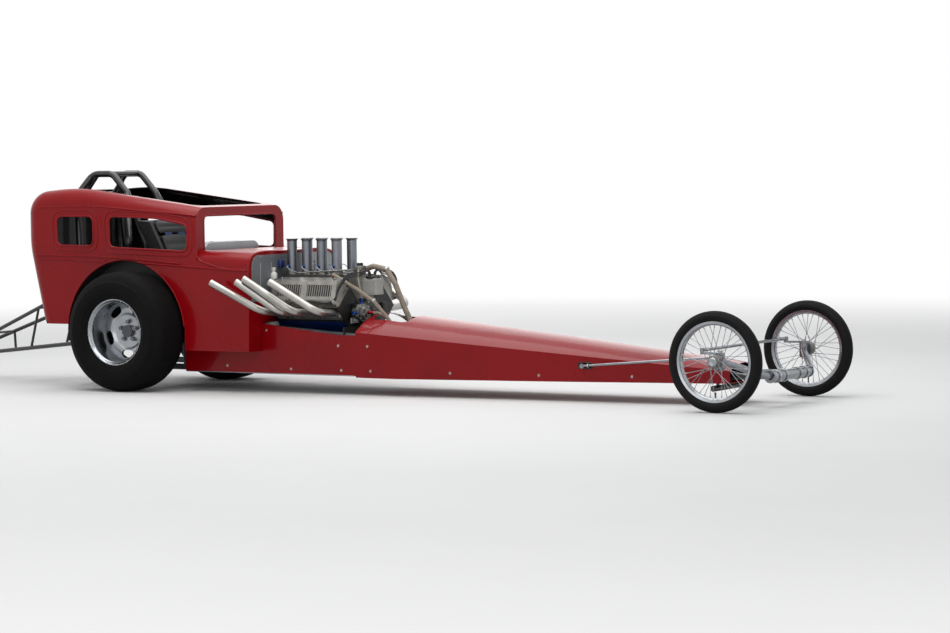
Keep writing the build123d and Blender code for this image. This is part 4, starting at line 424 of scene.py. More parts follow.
# Black cast iron behind the accessories: dark and oily
OILED_IRON = Finish("oiled_cast_iron", "1B1A19", "0C0B0A", 0.45, Surface.CAST, metallic=0.4, grain_mm=2.4,
                    relief_mm=0.25, patch_mm=50.0, roughness_drift=0.25)
# Soft slick compound: very dark, dull, with a fine scrubbed grain
SLICK_RUBBER = Finish("slick_tyre_rubber", "050505", "0B0A0A", 0.80, specular=0.14, grain_mm=2.2,
                      relief_mm=0.35, patch_mm=90.0, roughness_drift=0.15)
# Harder front tyre rubber: black with a slight moulded sheen
TYRE_RUBBER = Finish("moulded_tyre_rubber", "060606", "0D0C0C", 0.66, specular=0.18, grain_mm=1.8,
                     relief_mm=0.15, patch_mm=70.0, roughness_drift=0.15)
# Braided textile hose cover, grey beige with darker strands
BRAIDED_HOSE = Finish("braided_fuel_hose", "8E8274", "5E564C", 0.62, Surface.WOVEN, grain_mm=4.0,
                      relief_mm=0.5, patch_mm=35.0)
# Anodised aluminium hose ends, red and blue: coloured metal with a soft shine
ANODISED = {"roughness": 0.24, "surface": Surface.BRUSHED, "metallic": 1.0, "grain_mm": 1.5,
            "relief_mm": 0.02, "patch_mm": 30.0}
RED_ANODISED = Finish("red_anodised_aluminium", "B3152A", "8C0E20", **ANODISED)
BLUE_ANODISED = Finish("blue_anodised_aluminium", "1A4596", "123276", **ANODISED)
# Silicone rubber lead insulation and grommets: black, dull
BLACK_RUBBER = Finish("black_silicone_rubber", "101011", "1D1D1E", 0.55, patch_mm=50.0)
# Glass-filled nylon cap: pale grey moulding
GREY_NYLON = Finish("grey_moulded_nylon", "A8A7A2", "8F8D86", 0.42, relief_mm=0.06, patch_mm=50.0)
# Blow-moulded polyethylene bottle: milky white
WHITE_POLYTHENE = Finish("white_polythene", "E4E2DA", "CFCBC0", 0.38, grain_mm=4.0, patch_mm=60.0)
# Quilted black vinyl on the seat: dull grain with worn ridges
SEAT_VINYL = Finish("black_seat_vinyl", "0F0F11", "232325", 0.58, Surface.CAST, grain_mm=2.2, relief_mm=0.12,
                    patch_mm=80.0)
# Polyester harness webbing: deep blue weave
HARNESS_WEBBING = Finish("blue_harness_webbing", "16294F", "0E1B36", 0.78, Surface.WOVEN, grain_mm=3.0,
                         relief_mm=0.4, patch_mm=60.0)
# Zinc-plated fastener steel: pale grey, slightly yellow
ZINC_STEEL = Finish("zinc_plated_steel", "A9A8A3", "7E7A70", 0.30, Surface.POLISHED, metallic=1.0,
                    relief_mm=0.03, patch_mm=12.0)
# Dark paint inside the roof and tail: nearly black
INNER_BLACK = Finish("black_inner_paint", "0C0C0D", "18181A", 0.55, Surface.SPRAYED, grain_mm=3.0,
                     patch_mm=200.0)

NODE_FINISHES = {node: finish for finish, nodes in (
    (CAB_ENAMEL_INNER_SHADE, "body_side_right body_side_left body_back roof_panel firewall"), (COWL_ENAMEL, "cowl"),
    (INNER_BLACK, "wheel_tubs"), (SHEET_ALUMINIUM, "cockpit_cover belly_pan"),
    (RED_ENAMEL, "side_panels nose_sides nose_floor"), (NOSE_ENAMEL_STRIPE_AND_REFLECTION, "nose_top"),
    (GREY_ENAMEL, "frame_rails frame_tubes rear_axle"), (SEAT_VINYL, "seat"),
    (BLACK_POWDER_COAT, "roll_cage wheelie_bars radius_rods steering_wheel"),
    (BLOCK_ENAMEL, "engine_block"), (BLUE_ENAMEL, "oil_pan"), (OILED_IRON, "cylinder_heads"),
    (BUFFED_CASTING, "valve_covers"), (CAST_ALUMINIUM, "injector_manifold fuel_pump gearbox"),
    (SPUN_ALUMINIUM, "injector_stacks"), (CERAMIC_SILVER, "headers_right headers_left"),
    (GREY_NYLON, "magneto"), (POLISHED_ALUMINIUM, "fuel_tank"), (BRAIDED_HOSE, "fuel_hoses"),
    (CHROME, "front_cross_tube front_arms knuckle_right knuckle_left tie_rod drag_link"),
) for node in nodes.split()}


def clear_selection() -> None:
    """Leave edit mode and deselect every object."""
    if bpy.context.object is not None and bpy.context.object.mode != "OBJECT":
        bpy.ops.object.mode_set(mode="OBJECT")
    bpy.ops.object.select_all(action="DESELECT")


def take(piece: bpy.types.Object) -> None:
    """Make one piece the only selected and the active one."""
    clear_selection()
    piece.select_set(True)
    bpy.context.view_layer.objects.active = piece


def select_top(piece: bpy.types.Object) -> None:
    """Select the faces that look up.

    Args:
        piece: Piece in edit mode.
    """
    bpy.ops.mesh.select_mode(type="FACE")
    bpy.ops.mesh.select_all(action="DESELECT")
    mesh = bmesh.from_edit_mesh(piece.data)
    for face in mesh.faces:
        face.select_set(face.normal.z > LOOKS_UP)
    bmesh.update_edit_mesh(piece.data)


def move_vertices(piece: bpy.types.Object, moved: Callable[[Vector], Point]) -> None:
    """Give every vertex of a piece a new place.

    Args:
        piece: Piece in edit mode.
        moved: Works out a vertex's new place from its old one.
    """
    mesh = bmesh.from_edit_mesh(piece.data)
    for vertex in mesh.verts:
        vertex.co = moved(vertex.co)
    bmesh.update_edit_mesh(piece.data)


def apply_modifier(piece: bpy.types.Object, kind: str, **settings: object) -> None:
    """Add a modifier and apply it.

    Args:
        piece: Piece that it changes.
        kind: Modifier type.
        settings: Properties of the modifier.
    """
    take(piece)
    modifier = piece.modifiers.new(kind.lower(), kind)
    for key, value in settings.items():
        setattr(modifier, key, value)
    bpy.ops.object.modifier_apply(modifier=modifier.name)


def finish_piece(piece: bpy.types.Object, name: str, bevel: float = 0.0,
                 segments: int = 2) -> bpy.types.Object:
    """Put a piece's place into its mesh, round its edges and shade it.

    Args:
        piece: Piece to finish.
        name: Name it gets.
        bevel: Width of the rounded edges.
        segments: Steps of each rounded edge.

    Returns:
        The piece.
    """
    take(piece)
    bpy.ops.object.transform_apply(location=True, rotation=True, scale=True)
    if bevel:
        apply_modifier(piece, "BEVEL", width=bevel, segments=segments, limit_method="ANGLE")
    bpy.ops.object.shade_smooth_by_angle(angle=SMOOTH_ANGLE)
    piece.name = name
    piece.data.name = name
    return piece


def join(pieces: Sequence[bpy.types.Object], name: str, **edges: float) -> bpy.types.Object:
    """Join pieces to one and finish it.

    Args:
        pieces: Pieces to join.
        name: Name of the joined piece.
        edges: Bevel and segments, as finish_piece takes them.

    Returns:
        The joined piece.
    """
    clear_selection()
    for piece in pieces:
        piece.select_set(True)
    bpy.context.view_layer.objects.active = pieces[0]
    if len(pieces) > 1:
        bpy.ops.object.join()
    return finish_piece(bpy.context.object, name, **edges)


def copies_of(master: bpy.types.Object, frames: Iterable[Matrix]) -> list[bpy.types.Object]:
    """Copy a master piece into each frame; the master is used up.

    Args:
        master: Piece modelled at the origin along Z.
        frames: Place, direction and scale of each copy.

    Returns:
        The copies.
    """
    copies = []
    for frame in frames:
        take(master)
        bpy.ops.object.duplicate(linked=False)
        bpy.context.object.matrix_world = frame
        copies.append(bpy.context.object)
    bpy.data.objects.remove(master, do_unlink=True)
    return copies


def turn_to(direction: Point) -> Matrix:
    """Return the rotation that points local Z along a direction."""
    return Vector(direction).to_track_quat("Z", "Y").to_matrix().to_4x4()


def placed(place: Point, direction: Point) -> Matrix:
    """Return the frame at a place whose Z points along a direction."""
    return Matrix.Translation(Vector(place)) @ turn_to(direction)


def turned(name: str, profile: Profile, place: Point = ORIGIN, axis: Point = UPWARD, steps: int = 48,
           bevel: float = 0.0) -> bpy.types.Object:
    """Turn a closed profile round an axis, as on a lathe.

    Args:
        name: Name of the piece.
        profile: Points (radius, distance along the axis) in millimetres, closed on itself.
        place: Where the axis starts.
        axis: Direction of the axis.
        steps: Faces round the turn.
        bevel: Width of rounded edges.

    Returns:
        The piece.
    """
    clear_selection()
    bpy.ops.mesh.primitive_plane_add(size=0.01)
    piece = bpy.context.object
    bpy.ops.object.mode_set(mode="EDIT")
    bpy.ops.mesh.select_mode(type="VERT")
    bpy.ops.mesh.select_all(action="SELECT")
    bpy.ops.mesh.merge(type="CENTER")
    outline = [(radius * MM, along * MM) for radius, along in profile]
    start = before = outline[0]
    move_vertices(piece, lambda _: (start[0], 0, start[1]))
    for after in [*outline[1:], start]:
        bpy.ops.mesh.extrude_region_move(
            TRANSFORM_OT_translate={"value": (after[0] - before[0], 0, after[1] - before[1])})
        before = after
    bpy.ops.mesh.select_all(action="SELECT")
    bpy.ops.mesh.remove_doubles(threshold=1e-6)
    bpy.ops.mesh.spin(steps=steps, angle=FULL_TURN, center=ORIGIN, axis=UPWARD)
    bpy.ops.mesh.select_all(action="SELECT")
    bpy.ops.mesh.remove_doubles(threshold=1e-5)
    bpy.ops.mesh.normals_make_consistent(inside=False)
    bpy.ops.object.mode_set(mode="OBJECT")
    piece.matrix_world = placed(place, axis)
    return finish_piece(piece, name, bevel)


def mirrored(profile: Profile) -> list[tuple[float, float]]:
    """Mirror a profile that starts at distance 0 to the other side of it, and close it there."""
    return [*profile, *[(radius, -along) for radius, along in reversed(profile) if along]]


def pipe(name: str, points: Iterable[Point], radius_mm: float, smooth: bool = True,
         closed: bool = False) -> bpy.types.Object:
    """Lay a round bar or bead along points.

    Args:
        name: Name of the piece.
        points: Places it passes.
        radius_mm: Radius of the bar.
        smooth: Whether it curves through the points or runs straight between them.
        closed: Whether it returns to its start.

    Returns:
        The piece.
    """
    clear_selection()
    curve = bpy.data.curves.new(name, "CURVE")
    curve.dimensions = "3D"
    curve.bevel_depth = radius_mm * MM
    curve.bevel_resolution = PIPE_SECTION_STEPS
    curve.resolution_u = PIPE_CURVE_STEPS
    curve.use_fill_caps = not closed
    spots = [Vector(point) for point in points]
    spline = curve.splines.new("BEZIER" if smooth else "POLY")
    knots = spline.bezier_points if smooth else spline.points
    knots.add(len(spots) - 1)
    for knot, place in zip(knots, spots):
        knot.co = place if smooth else (*place, 1)
        if smooth:
            knot.handle_left_type = knot.handle_right_type = "AUTO"
    spline.use_cyclic_u = closed
    piece = bpy.data.objects.new(name, curve)
    bpy.context.collection.objects.link(piece)
    take(piece)
    bpy.ops.object.convert(target="MESH")
    return finish_piece(bpy.context.object, name)


def block(name: str, centre: Point, size: Point, edge: float, sunk: float = 0.0, margin: float = 0.004,
          direction: Point = UPWARD) -> bpy.types.Object:
    """Shape a rounded block whose top face is inset and sunk or raised.

    Args:
        name: Name of the piece.
        centre: Middle of the block.
        size: Its three sizes, the last along its direction.
        edge: Width of its rounded edges.
        sunk: How far the inset top face lies below its rim; negative raises it.
        margin: Width of the rim.
        direction: Where the top faces.

    Returns:
        The piece.
    """
    clear_selection()
    bpy.ops.mesh.primitive_cube_add(size=1, scale=size)
    piece = bpy.context.object
    bpy.ops.object.transform_apply(location=False, rotation=False, scale=True)
    bpy.ops.object.mode_set(mode="EDIT")
    select_top(piece)
    bpy.ops.mesh.inset(thickness=margin)
    bpy.ops.transform.translate(value=(0, 0, -sunk))
    bpy.ops.object.mode_set(mode="OBJECT")
    piece.matrix_world = placed(centre, direction)
    return finish_piece(piece, name, edge)


def fastener(radius: float, height: float, sides: int = 6, washer: float = 1.35,
             socket: float = 0.5) -> bpy.types.Object:
    """Model one screw or nut at the origin, standing on its washer along Z.

    Args:
        radius: Radius of the head.
        height: Height over the washer.
        sides: Sides of the head.
        washer: Washer radius over head radius.
        socket: Depth of the recess over the head's height; negative raises a stud.

    Returns:
        The fastener, still without a place.
    """
    clear_selection()
    washer_share, rim_share, edge_share, overlap = 0.25, 0.42, 0.08, 0.0002
    thickness = height * washer_share
    bpy.ops.mesh.primitive_cylinder_add(vertices=24, radius=radius * washer, depth=thickness)
    foot = bpy.context.object
    bpy.ops.mesh.primitive_cylinder_add(vertices=sides, radius=radius, depth=height,
                                        location=(0, 0, thickness + height / 2 - overlap))
    head = bpy.context.object
    bpy.ops.object.transform_apply(location=True)
    bpy.ops.object.mode_set(mode="EDIT")
    select_top(head)
    bpy.ops.mesh.inset(thickness=radius * rim_share)
    bpy.ops.mesh.extrude_region_move(TRANSFORM_OT_translate={"value": (0, 0, -socket * height)})
    bpy.ops.object.mode_set(mode="OBJECT")
    return join([foot, head], "fastener", bevel=radius * edge_share, segments=1)


def spread(master: bpy.types.Object, name: str, places: Iterable[tuple[Point, Point]]) -> bpy.types.Object:
    """Copy a master piece to many places, each with its direction, and join the copies."""
    return join(copies_of(master, [placed(place, direction) for place, direction in places]), name)


def ring(centre: Point, axis: Point, radius: float, count: int,
         start: float = 0.0) -> list[tuple[Point, Point]]:
    """Return places on a circle with the axis as each one's direction.

    Args:
        centre: Middle of the circle.
        axis: Its axis.
        radius: Its radius.
        count: How many places.
        start: Angle of the first in degrees.

    Returns:
        Pairs of place and direction.
    """
    frame = turn_to(axis)
    angles = [math.radians(start) + FULL_TURN * number / count for number in range(count)]
    return [(Vector(centre) + frame @ Vector((radius * math.cos(a), radius * math.sin(a), 0)), axis)
            for a in angles]


def box_corners(half_width: float, half_height: float) -> tuple:
    """Return the corners of an upright rectangle round its middle."""
    return ((-half_width, -half_height), (-half_width, half_height), (half_width, half_height),
            (half_width, -half_height))


def rounded_loop(corners: Profile, radius: float, steps: int = 5) -> list[tuple[float, float]]:
    """Round the corners of a closed outline.

    Args:
        corners: Corner points in two sizes.
        radius: Corner radius.
        steps: Points of each rounded corner.

    Returns:
        The outline's points.
    """
    outline = []
    for before, corner, after in zip([corners[-1], *corners], corners, [*corners[1:], corners[0]]):
        middle = Vector((*corner, 0))
        to_before, to_after = ((Vector((*end, 0)) - middle).normalized() * radius for end in (before, after))
        for step in range(steps + 1):
            share = step / steps
            place = middle + to_before * (1 - share) ** 2 + to_after * share ** 2
            outline.append((place.x, place.y))
    return outline


def grown(corners: Profile, amount: float) -> list[tuple[float, float]]:
    """Return an outline moved outwards from its middle by an amount along each axis."""
    middle_x = sum(x for x, z in corners) / len(corners)
    middle_z = sum(z for x, z in corners) / len(corners)
    return [(x + math.copysign(amount, x - middle_x), z + math.copysign(amount, z - middle_z))
            for x, z in corners]


def strap(name: str, path: Sequence[Point], width: float, thickness: float) -> bpy.types.Object:
    """Lay a flat strap whose width runs across the car.

    Args:
        name: Name of the strap.
        path: Places of its middle line.
        width: Its width.
        thickness: Its thickness.

    Returns:
        The strap.
    """
    clear_selection()
    bpy.ops.mesh.primitive_plane_add(size=1)
    piece = bpy.context.object
    bpy.ops.object.mode_set(mode="EDIT")
    bpy.ops.mesh.select_mode(type="VERT")
    move_vertices(piece, lambda corner: Vector(path[0]) + Vector((0, math.copysign(width / 2, corner.y), 0)))
    bpy.ops.mesh.select_all(action="SELECT")
    bpy.ops.mesh.remove_doubles(threshold=1e-5)
    bpy.ops.mesh.select_mode(type="EDGE")
    bpy.ops.mesh.select_all(action="SELECT")
    for here, there in zip(path, path[1:]):
        step = tuple(Vector(there) - Vector(here))
        bpy.ops.mesh.extrude_region_move(TRANSFORM_OT_translate={"value": step})
    bpy.ops.object.mode_set(mode="OBJECT")
    apply_modifier(piece, "SUBSURF", levels=2, render_levels=2)
    apply_modifier(piece, "SOLIDIFY", thickness=thickness, offset=0.0)
    return finish_piece(piece, name)


def cushion(name: str, centre: Point, size: Point, facing: Point, channels: int) -> bpy.types.Object:
    """Model a sewn pad: crowned, pulled in at its corners and stitched down in channels across its length.

    Args:
        name: Name of the pad.
        centre: Middle of the pad.
        size: Its length, width and thickness.
        facing: Where its crowned face points.
        channels: How many stuffed channels lie side by side.

    Returns:
        The pad.
    """
    length, width, thickness = size
    corner_pull, edge_height, seam_depth = 0.045, 0.62, 0.34

    def stuffed(place: Vector) -> Vector:
        """Return where a place of the flat block of size 1 lies on the stuffed pad."""
        along, across, up = (2 * value for value in place)
        pulled = 1 - corner_pull * (along * along * across * across)
        crown = edge_height + (1 - edge_height) * (1 - along ** 4) * (1 - across ** 4)
        seam = abs(math.cos(math.pi * channels * (along + 1) / 2)) ** 6
        lift = 0.5 * thickness * crown * (1 - seam_depth * seam * (1 - across ** 8))
        return Vector((along * length / 2 * pulled, across * width / 2 * pulled,
                       up * (lift if up > 0 else thickness * 0.5)))

    clear_selection()
    bpy.ops.mesh.primitive_cube_add(size=1)
    piece = bpy.context.object
    bpy.ops.object.mode_set(mode="EDIT")
    bpy.ops.mesh.subdivide(number_cuts=channels * 4 - 1)
    move_vertices(piece, stuffed)
    bpy.ops.object.mode_set(mode="OBJECT")
    apply_modifier(piece, "SUBSURF", levels=1, render_levels=1)
    up = Vector(facing).normalized()
    side = Vector(LEFTWARD)
    piece.matrix_world = Matrix.Translation(Vector(centre)) @ Matrix(
        (side.cross(up), side, up)).transposed().to_4x4()
    return finish_piece(piece, name)


def dress(piece: bpy.types.Object, finish: Finish, body: str = "chassis") -> bpy.types.Object:
    """Give a piece its finish and let it ride on a body; report it.

    Args:
        piece: Piece to dress.
        finish: Its finish.
        body: Body it rides on.

    Returns:
        The piece.
    """
    piece.data.materials.clear()
    piece.data.materials.append(finish.material())
    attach(piece, body)
    LOG.info("%s: %d faces, %s", piece.name, len(piece.data.polygons), finish.name)
    return piece


def lathe(name: str, finish: Finish, profile: Profile, place: Point, axis: Point, body: str = "chassis",
          **turning: float) -> bpy.types.Object:
    """Turn a profile as turned() does, dress it and return it."""
    return dress(turned(name, profile, place, axis, **turning), finish, body)


def bar(name: str, finish: Finish, points: Iterable[Point], radius_mm: float,
        **run: bool) -> bpy.types.Object:
    """Lay a bar on the chassis as pipe() does, dress it and return it."""
    return dress(pipe(name, points, radius_mm, **run), finish)


def bolts(name: str, places: Iterable[tuple[Point, Point]], radius_mm: float, height_mm: float,
          finish: Finish = ZINC_STEEL, body: str = "chassis", **head: float) -> bpy.types.Object:
    """Set one kind of screw or nut at places with directions, dress the lot and return it."""
    screws = spread(fastener(radius_mm * MM, height_mm * MM, **head), name, places)
    return dress(screws, finish, body)


def seen_rays(tree: bpy.types.NodeTree) -> Socket:
    """Return 1 for the rays that show the background: camera, glossy and transmission rays."""
    rays = add_node(tree, "ShaderNodeLightPath").outputs
    return reckon(tree, "MAXIMUM", reckon(tree, "MAXIMUM", rays["Is Camera Ray"], rays["Is Glossy Ray"]),
                  rays["Is Transmission Ray"])


@dataclass
class Studio:
    """Pale floor, soft lamps, white surroundings and the camera of the photograph."""

    camera_place: tuple = (10.0029, -15.1765, 1.3997)
    azimuth: float = 30.7089
    elevation: float = 3.0016
    roll: float = -0.7472
    lens_mm: float = 110.5
    sensor_mm: float = 36.0
    view_reach: float = 300.0
    floor_size: float = 120.0
    fade_start: float = 4.2
    fade_end: float = 13.0
    ambient: float = 0.42
    ambient_colour: str = "F4F6FA"
    lamp_target: tuple = (0.0, 0.0, 0.4)
    # Name, place, side in metres and power in watts
    lamps: tuple = (("lamp_above", (0.0, -0.5, 7.0), 9.0, 620.0), ("lamp_near", (3.0, -9.0, 4.0), 6.0, 120.0),
                    ("lamp_far", (-4.0, 8.0, 4.5), 6.0, 110.0))

    def build(self) -> None:
        """Build the floor, the world, the lamps and the camera."""
        self.build_floor()
        self.build_world()
        for name, place, size, power in self.lamps:
            self.add_lamp(name, place, size, power)
        self.add_camera()

    def build_floor(self) -> None:
        """Lay the floor, gently mottled so that it reads as a surface."""
        clear_selection()
        bpy.ops.mesh.primitive_plane_add(size=self.floor_size)
        floor = bpy.context.object
        floor.name = "floor"
        material = Finish("pale_floor", "D8D8D7", "D2D2D1", 0.7, grain_mm=40.0, relief_mm=0.2,
                          patch_mm=1500.0, drift=0.4, specular=0.2).material()
        self.fade_floor(material.node_tree)
        floor.data.materials.append(material)
        floor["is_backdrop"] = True

    def fade_floor(self, tree: bpy.types.NodeTree) -> None:
        """Let the floor fade into the white surroundings away from the car, for the camera and mirrors only.

        Args:
            tree: Node tree of the floor's material.
        """
        place = add_node(tree, "ShaderNodeTexCoord").outputs["Object"]
        away = reckon_vector(tree, "LENGTH", place).outputs["Value"]
        limits = {"Value": away, "From Min": self.fade_start, "From Max": self.fade_end}
        far = add_node(tree, "ShaderNodeMapRange", limits, interpolation_type="SMOOTHSTEP")
        share = reckon(tree, "MULTIPLY", far.outputs["Result"], seen_rays(tree))
        white = add_node(tree, "ShaderNodeEmission", {"Color": WHITE, "Strength": 1.0})
        output = next(node for node in tree.nodes if node.type == "OUTPUT_MATERIAL")
        surface = output.inputs["Surface"].links[0].from_socket
        mixed = add_node(tree, "ShaderNodeMixShader", {0: share, 1: surface, 2: white.outputs["Emission"]})
        tree.links.new(mixed.outputs["Shader"], output.inputs["Surface"])

    def build_world(self) -> None:
        """Light everything evenly, and show white to the camera, mirrors and glass."""
        world = bpy.data.worlds.new("studio_world")
        bpy.context.scene.world = world
        world.use_nodes = True
        tree = world.node_tree
        tree.nodes.clear()
        ambient, white = (
            add_node(tree, "ShaderNodeBackground", {"Color": colour, "Strength": strength}).outputs[0]
            for colour, strength in ((linear(self.ambient_colour), self.ambient), (WHITE, 1.0)))
        mixed = add_node(tree, "ShaderNodeMixShader", {0: seen_rays(tree), 1: ambient, 2: white})
        add_node(tree, "ShaderNodeOutputWorld", {"Surface": mixed.outputs["Shader"]})

    def add_lamp(self, name: str, place: Point, size: float, power: float) -> None:
        """Hang a square soft lamp that faces the middle of the car.

        Args:
            name: Name of the lamp.
            place: Where it hangs.
            size: Its side.
            power: Its power in watts.
        """
        data = bpy.data.lights.new(name, "AREA")
        data.size = size
        data.energy = power
        lamp = bpy.data.objects.new(name, data)
        lamp.location = place
        lamp.rotation_euler = (Vector(self.lamp_target) - Vector(place)).to_track_quat("-Z", "Y").to_euler()
        bpy.context.collection.objects.link(lamp)

    def add_camera(self) -> None:
        """Set up the camera at the photograph's place and direction."""
        azimuth, elevation, roll = (math.radians(a) for a in (self.azimuth, self.elevation, self.roll))
        back = Vector((math.sin(azimuth) * math.cos(elevation), -math.cos(azimuth) * math.cos(elevation),
                       math.sin(elevation)))
        level = (-back).cross(Vector(UPWARD)).normalized()
        upright = level.cross(-back)
        right = math.cos(roll) * level + math.sin(roll) * upright
        up = -math.sin(roll) * level + math.cos(roll) * upright
        data = bpy.data.cameras.new("camera")
        data.lens = self.lens_mm
        data.sensor_width = self.sensor_mm
        data.clip_end = self.view_reach
        camera = bpy.data.objects.new("camera", data)
        camera.matrix_world = Matrix.Translation(Vector(self.camera_place)) @ Matrix(
            (right, up, back)).transposed().to_4x4()
        bpy.context.collection.objects.link(camera)
        bpy.context.scene.camera = camera


@dataclass
class CabTrim:
    """Pressed beads, window rims, mouldings and seams of the cab body."""

    half_width: float = 0.480
    corner: float = 0.040
    windows: tuple = (
        ("quarter", ((-0.587, 0.917), (-0.587, 1.093), (-0.307, 1.093), (-0.305, 0.914))),
        ("door", ((-0.168, 0.905), (-0.168, 1.092), (0.180, 1.080), (0.432, 1.038), (0.430, 0.882))))
    # Part, how far it lies outside the opening, how far it stands proud, radius in millimetres
    window_frames: tuple = (("rim", 0.007, -0.0015, 7.5), ("bead", 0.040, 0.0, 4.5))
    arch_centre: tuple = (-0.060, 0.360)
    arch_radius: float = 0.462
    arch_angles: tuple = (6, 174)
    arch_steps: int = 28
    # Name, X and Z along the run, how far it stands proud, radius in millimetres, whether it curves
    mouldings: tuple = (
        ("belt_moulding_1", ((-0.758, 0.852), (-0.2, 0.838), (0.38, 0.800)), -0.001, 7, True),
        ("belt_moulding_2", ((-0.760, 0.829), (-0.205, 0.811)), -0.001, 7, False),
        ("belt_moulding_3", ((0.085, 0.801), (0.880, 0.757)), -0.001, 7, False),
        ("drip_rail", ((-0.74, 1.153), (-0.655, 1.157), (-0.269, 1.158), (0.034, 1.136), (0.331, 1.115),
                       (0.500, 1.098)), -0.002, 6, True),
        ("arch_lip", None, -0.004, 6, True),
        ("tail_skirt_roll", ((-0.690, 0.413), (-0.530, 0.413)), -0.004, 5, False),
        ("lower_panel_roll", ((0.410, 0.411), (0.410, 0.262), (0.880, 0.262)), -0.004, 5, False))
    # Name, X, lower and upper end of the sunk band
    pillars: tuple = (("b", -0.238, 0.93, 1.10), ("a", 0.480, 0.90, 1.05))
    band_width: float = 0.022
    band_depth: float = 0.006
    band_edge: float = 0.0015
    band_recess: float = 0.0012
    pillar_foot: tuple = ((0.500, 0.890), (0.512, 0.840), (0.545, 0.812), (0.591, 0.800), (0.673, 0.778),
                          (0.893, 0.765))
    windscreen: tuple = ((-0.395, 0.862), (-0.395, 1.098), (0.395, 1.098), (0.395, 0.862))
    # Y and Z along one half of the cowl's front lip, from its foot to the middle
    lip_half: tuple = ((0.478, 0.560), (0.478, 0.775), (0.470, 0.815), (0.445, 0.845), (0.400, 0.862))
    lip_middle: tuple = (0.0, 0.866)

    def on_side(self, points: Profile, side: Side, proud: float) -> list[Vector]:
        """Return side-view points as places on one body side, some way proud of it."""
        return [side.spot(x, self.half_width + proud, z) for x, z in points]

    def build(self) -> None:
        """Build the trim of both sides and of the front."""
        for side in SIDES:
            self.build_windows(side)
            self.build_mouldings(side)
            self.build_pillars(side)
        self.build_front()

    def build_windows(self, side: Side) -> None:
        """Frame both windows: a raised rim at the opening and a pressed bead round it.

        Args:
            side: Side of the car.
        """
        for label, corners in self.windows:
            for part, grow, proud, radius in self.window_frames:
                loop = rounded_loop(grown(corners, grow), self.corner + grow)
                bar(f"{label}_window_{part}_{side.name}", RED_ENAMEL, self.on_side(loop, side, proud), radius,
                    smooth=False, closed=True)

    def build_mouldings(self, side: Side) -> None:
        """Lay the belt mouldings, the drip rail, the wheel arch bead and the rolled lower edges.

        Args:
            side: Side of the car.
        """
        (centre_x, centre_z), (first, last) = self.arch_centre, self.arch_angles
        shares = [number / self.arch_steps for number in range(self.arch_steps + 1)]
        angles = [math.radians(first + (last - first) * share) for share in shares]
        arch = [(centre_x + self.arch_radius * math.cos(a), centre_z + self.arch_radius * math.sin(a))
                for a in angles]
        for name, points, proud, radius, smooth in self.mouldings:
            bar(f"{name}_{side.name}", RED_ENAMEL, self.on_side(points or arch, side, proud), radius,
                smooth=smooth)

    def build_pillars(self, side: Side) -> None:
        """Sink the bands beside the windows and lay the bead that runs from the pillar into the cowl.

        Args:
            side: Side of the car.
        """
        for label, x, low, high in self.pillars:
            dress(block(f"{label}_pillar_shadow_{side.name}",
                        side.spot(x, self.half_width - self.band_recess, (low + high) / 2),
                        (self.band_width, high - low, self.band_depth), self.band_edge, sunk=self.band_edge,
                        direction=side.direction()), RED_ENAMEL)
        bar(f"pillar_foot_bead_{side.name}", RED_ENAMEL, self.on_side(self.pillar_foot, side, -0.002), 6.5)

    def build_front(self) -> None:
        """Roll the windscreen frame and the cowl's front lip, which leans back."""
        screen_x, lip_x, lip_lean, lean_foot = 0.502, 0.897, 0.016, 0.82
        bar("windscreen_frame_bead", RED_ENAMEL,
            [spot(screen_x, y, z) for y, z in rounded_loop(self.windscreen, self.corner)], 7, smooth=False,
            closed=True)
        lip = [*[(-y, z) for y, z in self.lip_half], self.lip_middle, *reversed(self.lip_half)]
        bar("cowl_front_lip", RED_ENAMEL,
            [spot(lip_x + lip_lean * (z - lean_foot), y, z) for y, z in lip], 8.5)


@dataclass
class Fasteners:
    """Quarter-turn studs on the lower panels and the nose, and the nose's filler cap."""

    # X, distance from the middle and Z of each stud
    studs: tuple = ((0.60, 0.330, 0.36), (0.62, 0.330, 0.16), (1.10, 0.330, 0.15), (1.45, 0.330, 0.30),
                    (1.47, 0.330, 0.15), (0.92, 0.330, 0.385), (1.66, 0.3285, 0.30), (1.68, 0.3285, 0.15),
                    (2.23, 0.3035, 0.150), (2.82, 0.2700, 0.150), (3.42, 0.2355, 0.155))
    cap: tuple = ((0, 0), (34, 0), (34, 10), (30, 14), (12, 14), (10, 17), (0, 17))

    def build(self) -> None:
        """Set the studs of both sides and the filler cap."""
        places = [(side.spot(*place), side.direction()) for side in SIDES for place in self.studs]
        bolts("panel_studs", places, 6.2, 3, sides=20, socket=0.4)
        lathe("nose_filler_cap", BLACK_RUBBER, self.cap, spot(3.60, -0.02, 0.2865), (0.11, 0, 1), steps=24)


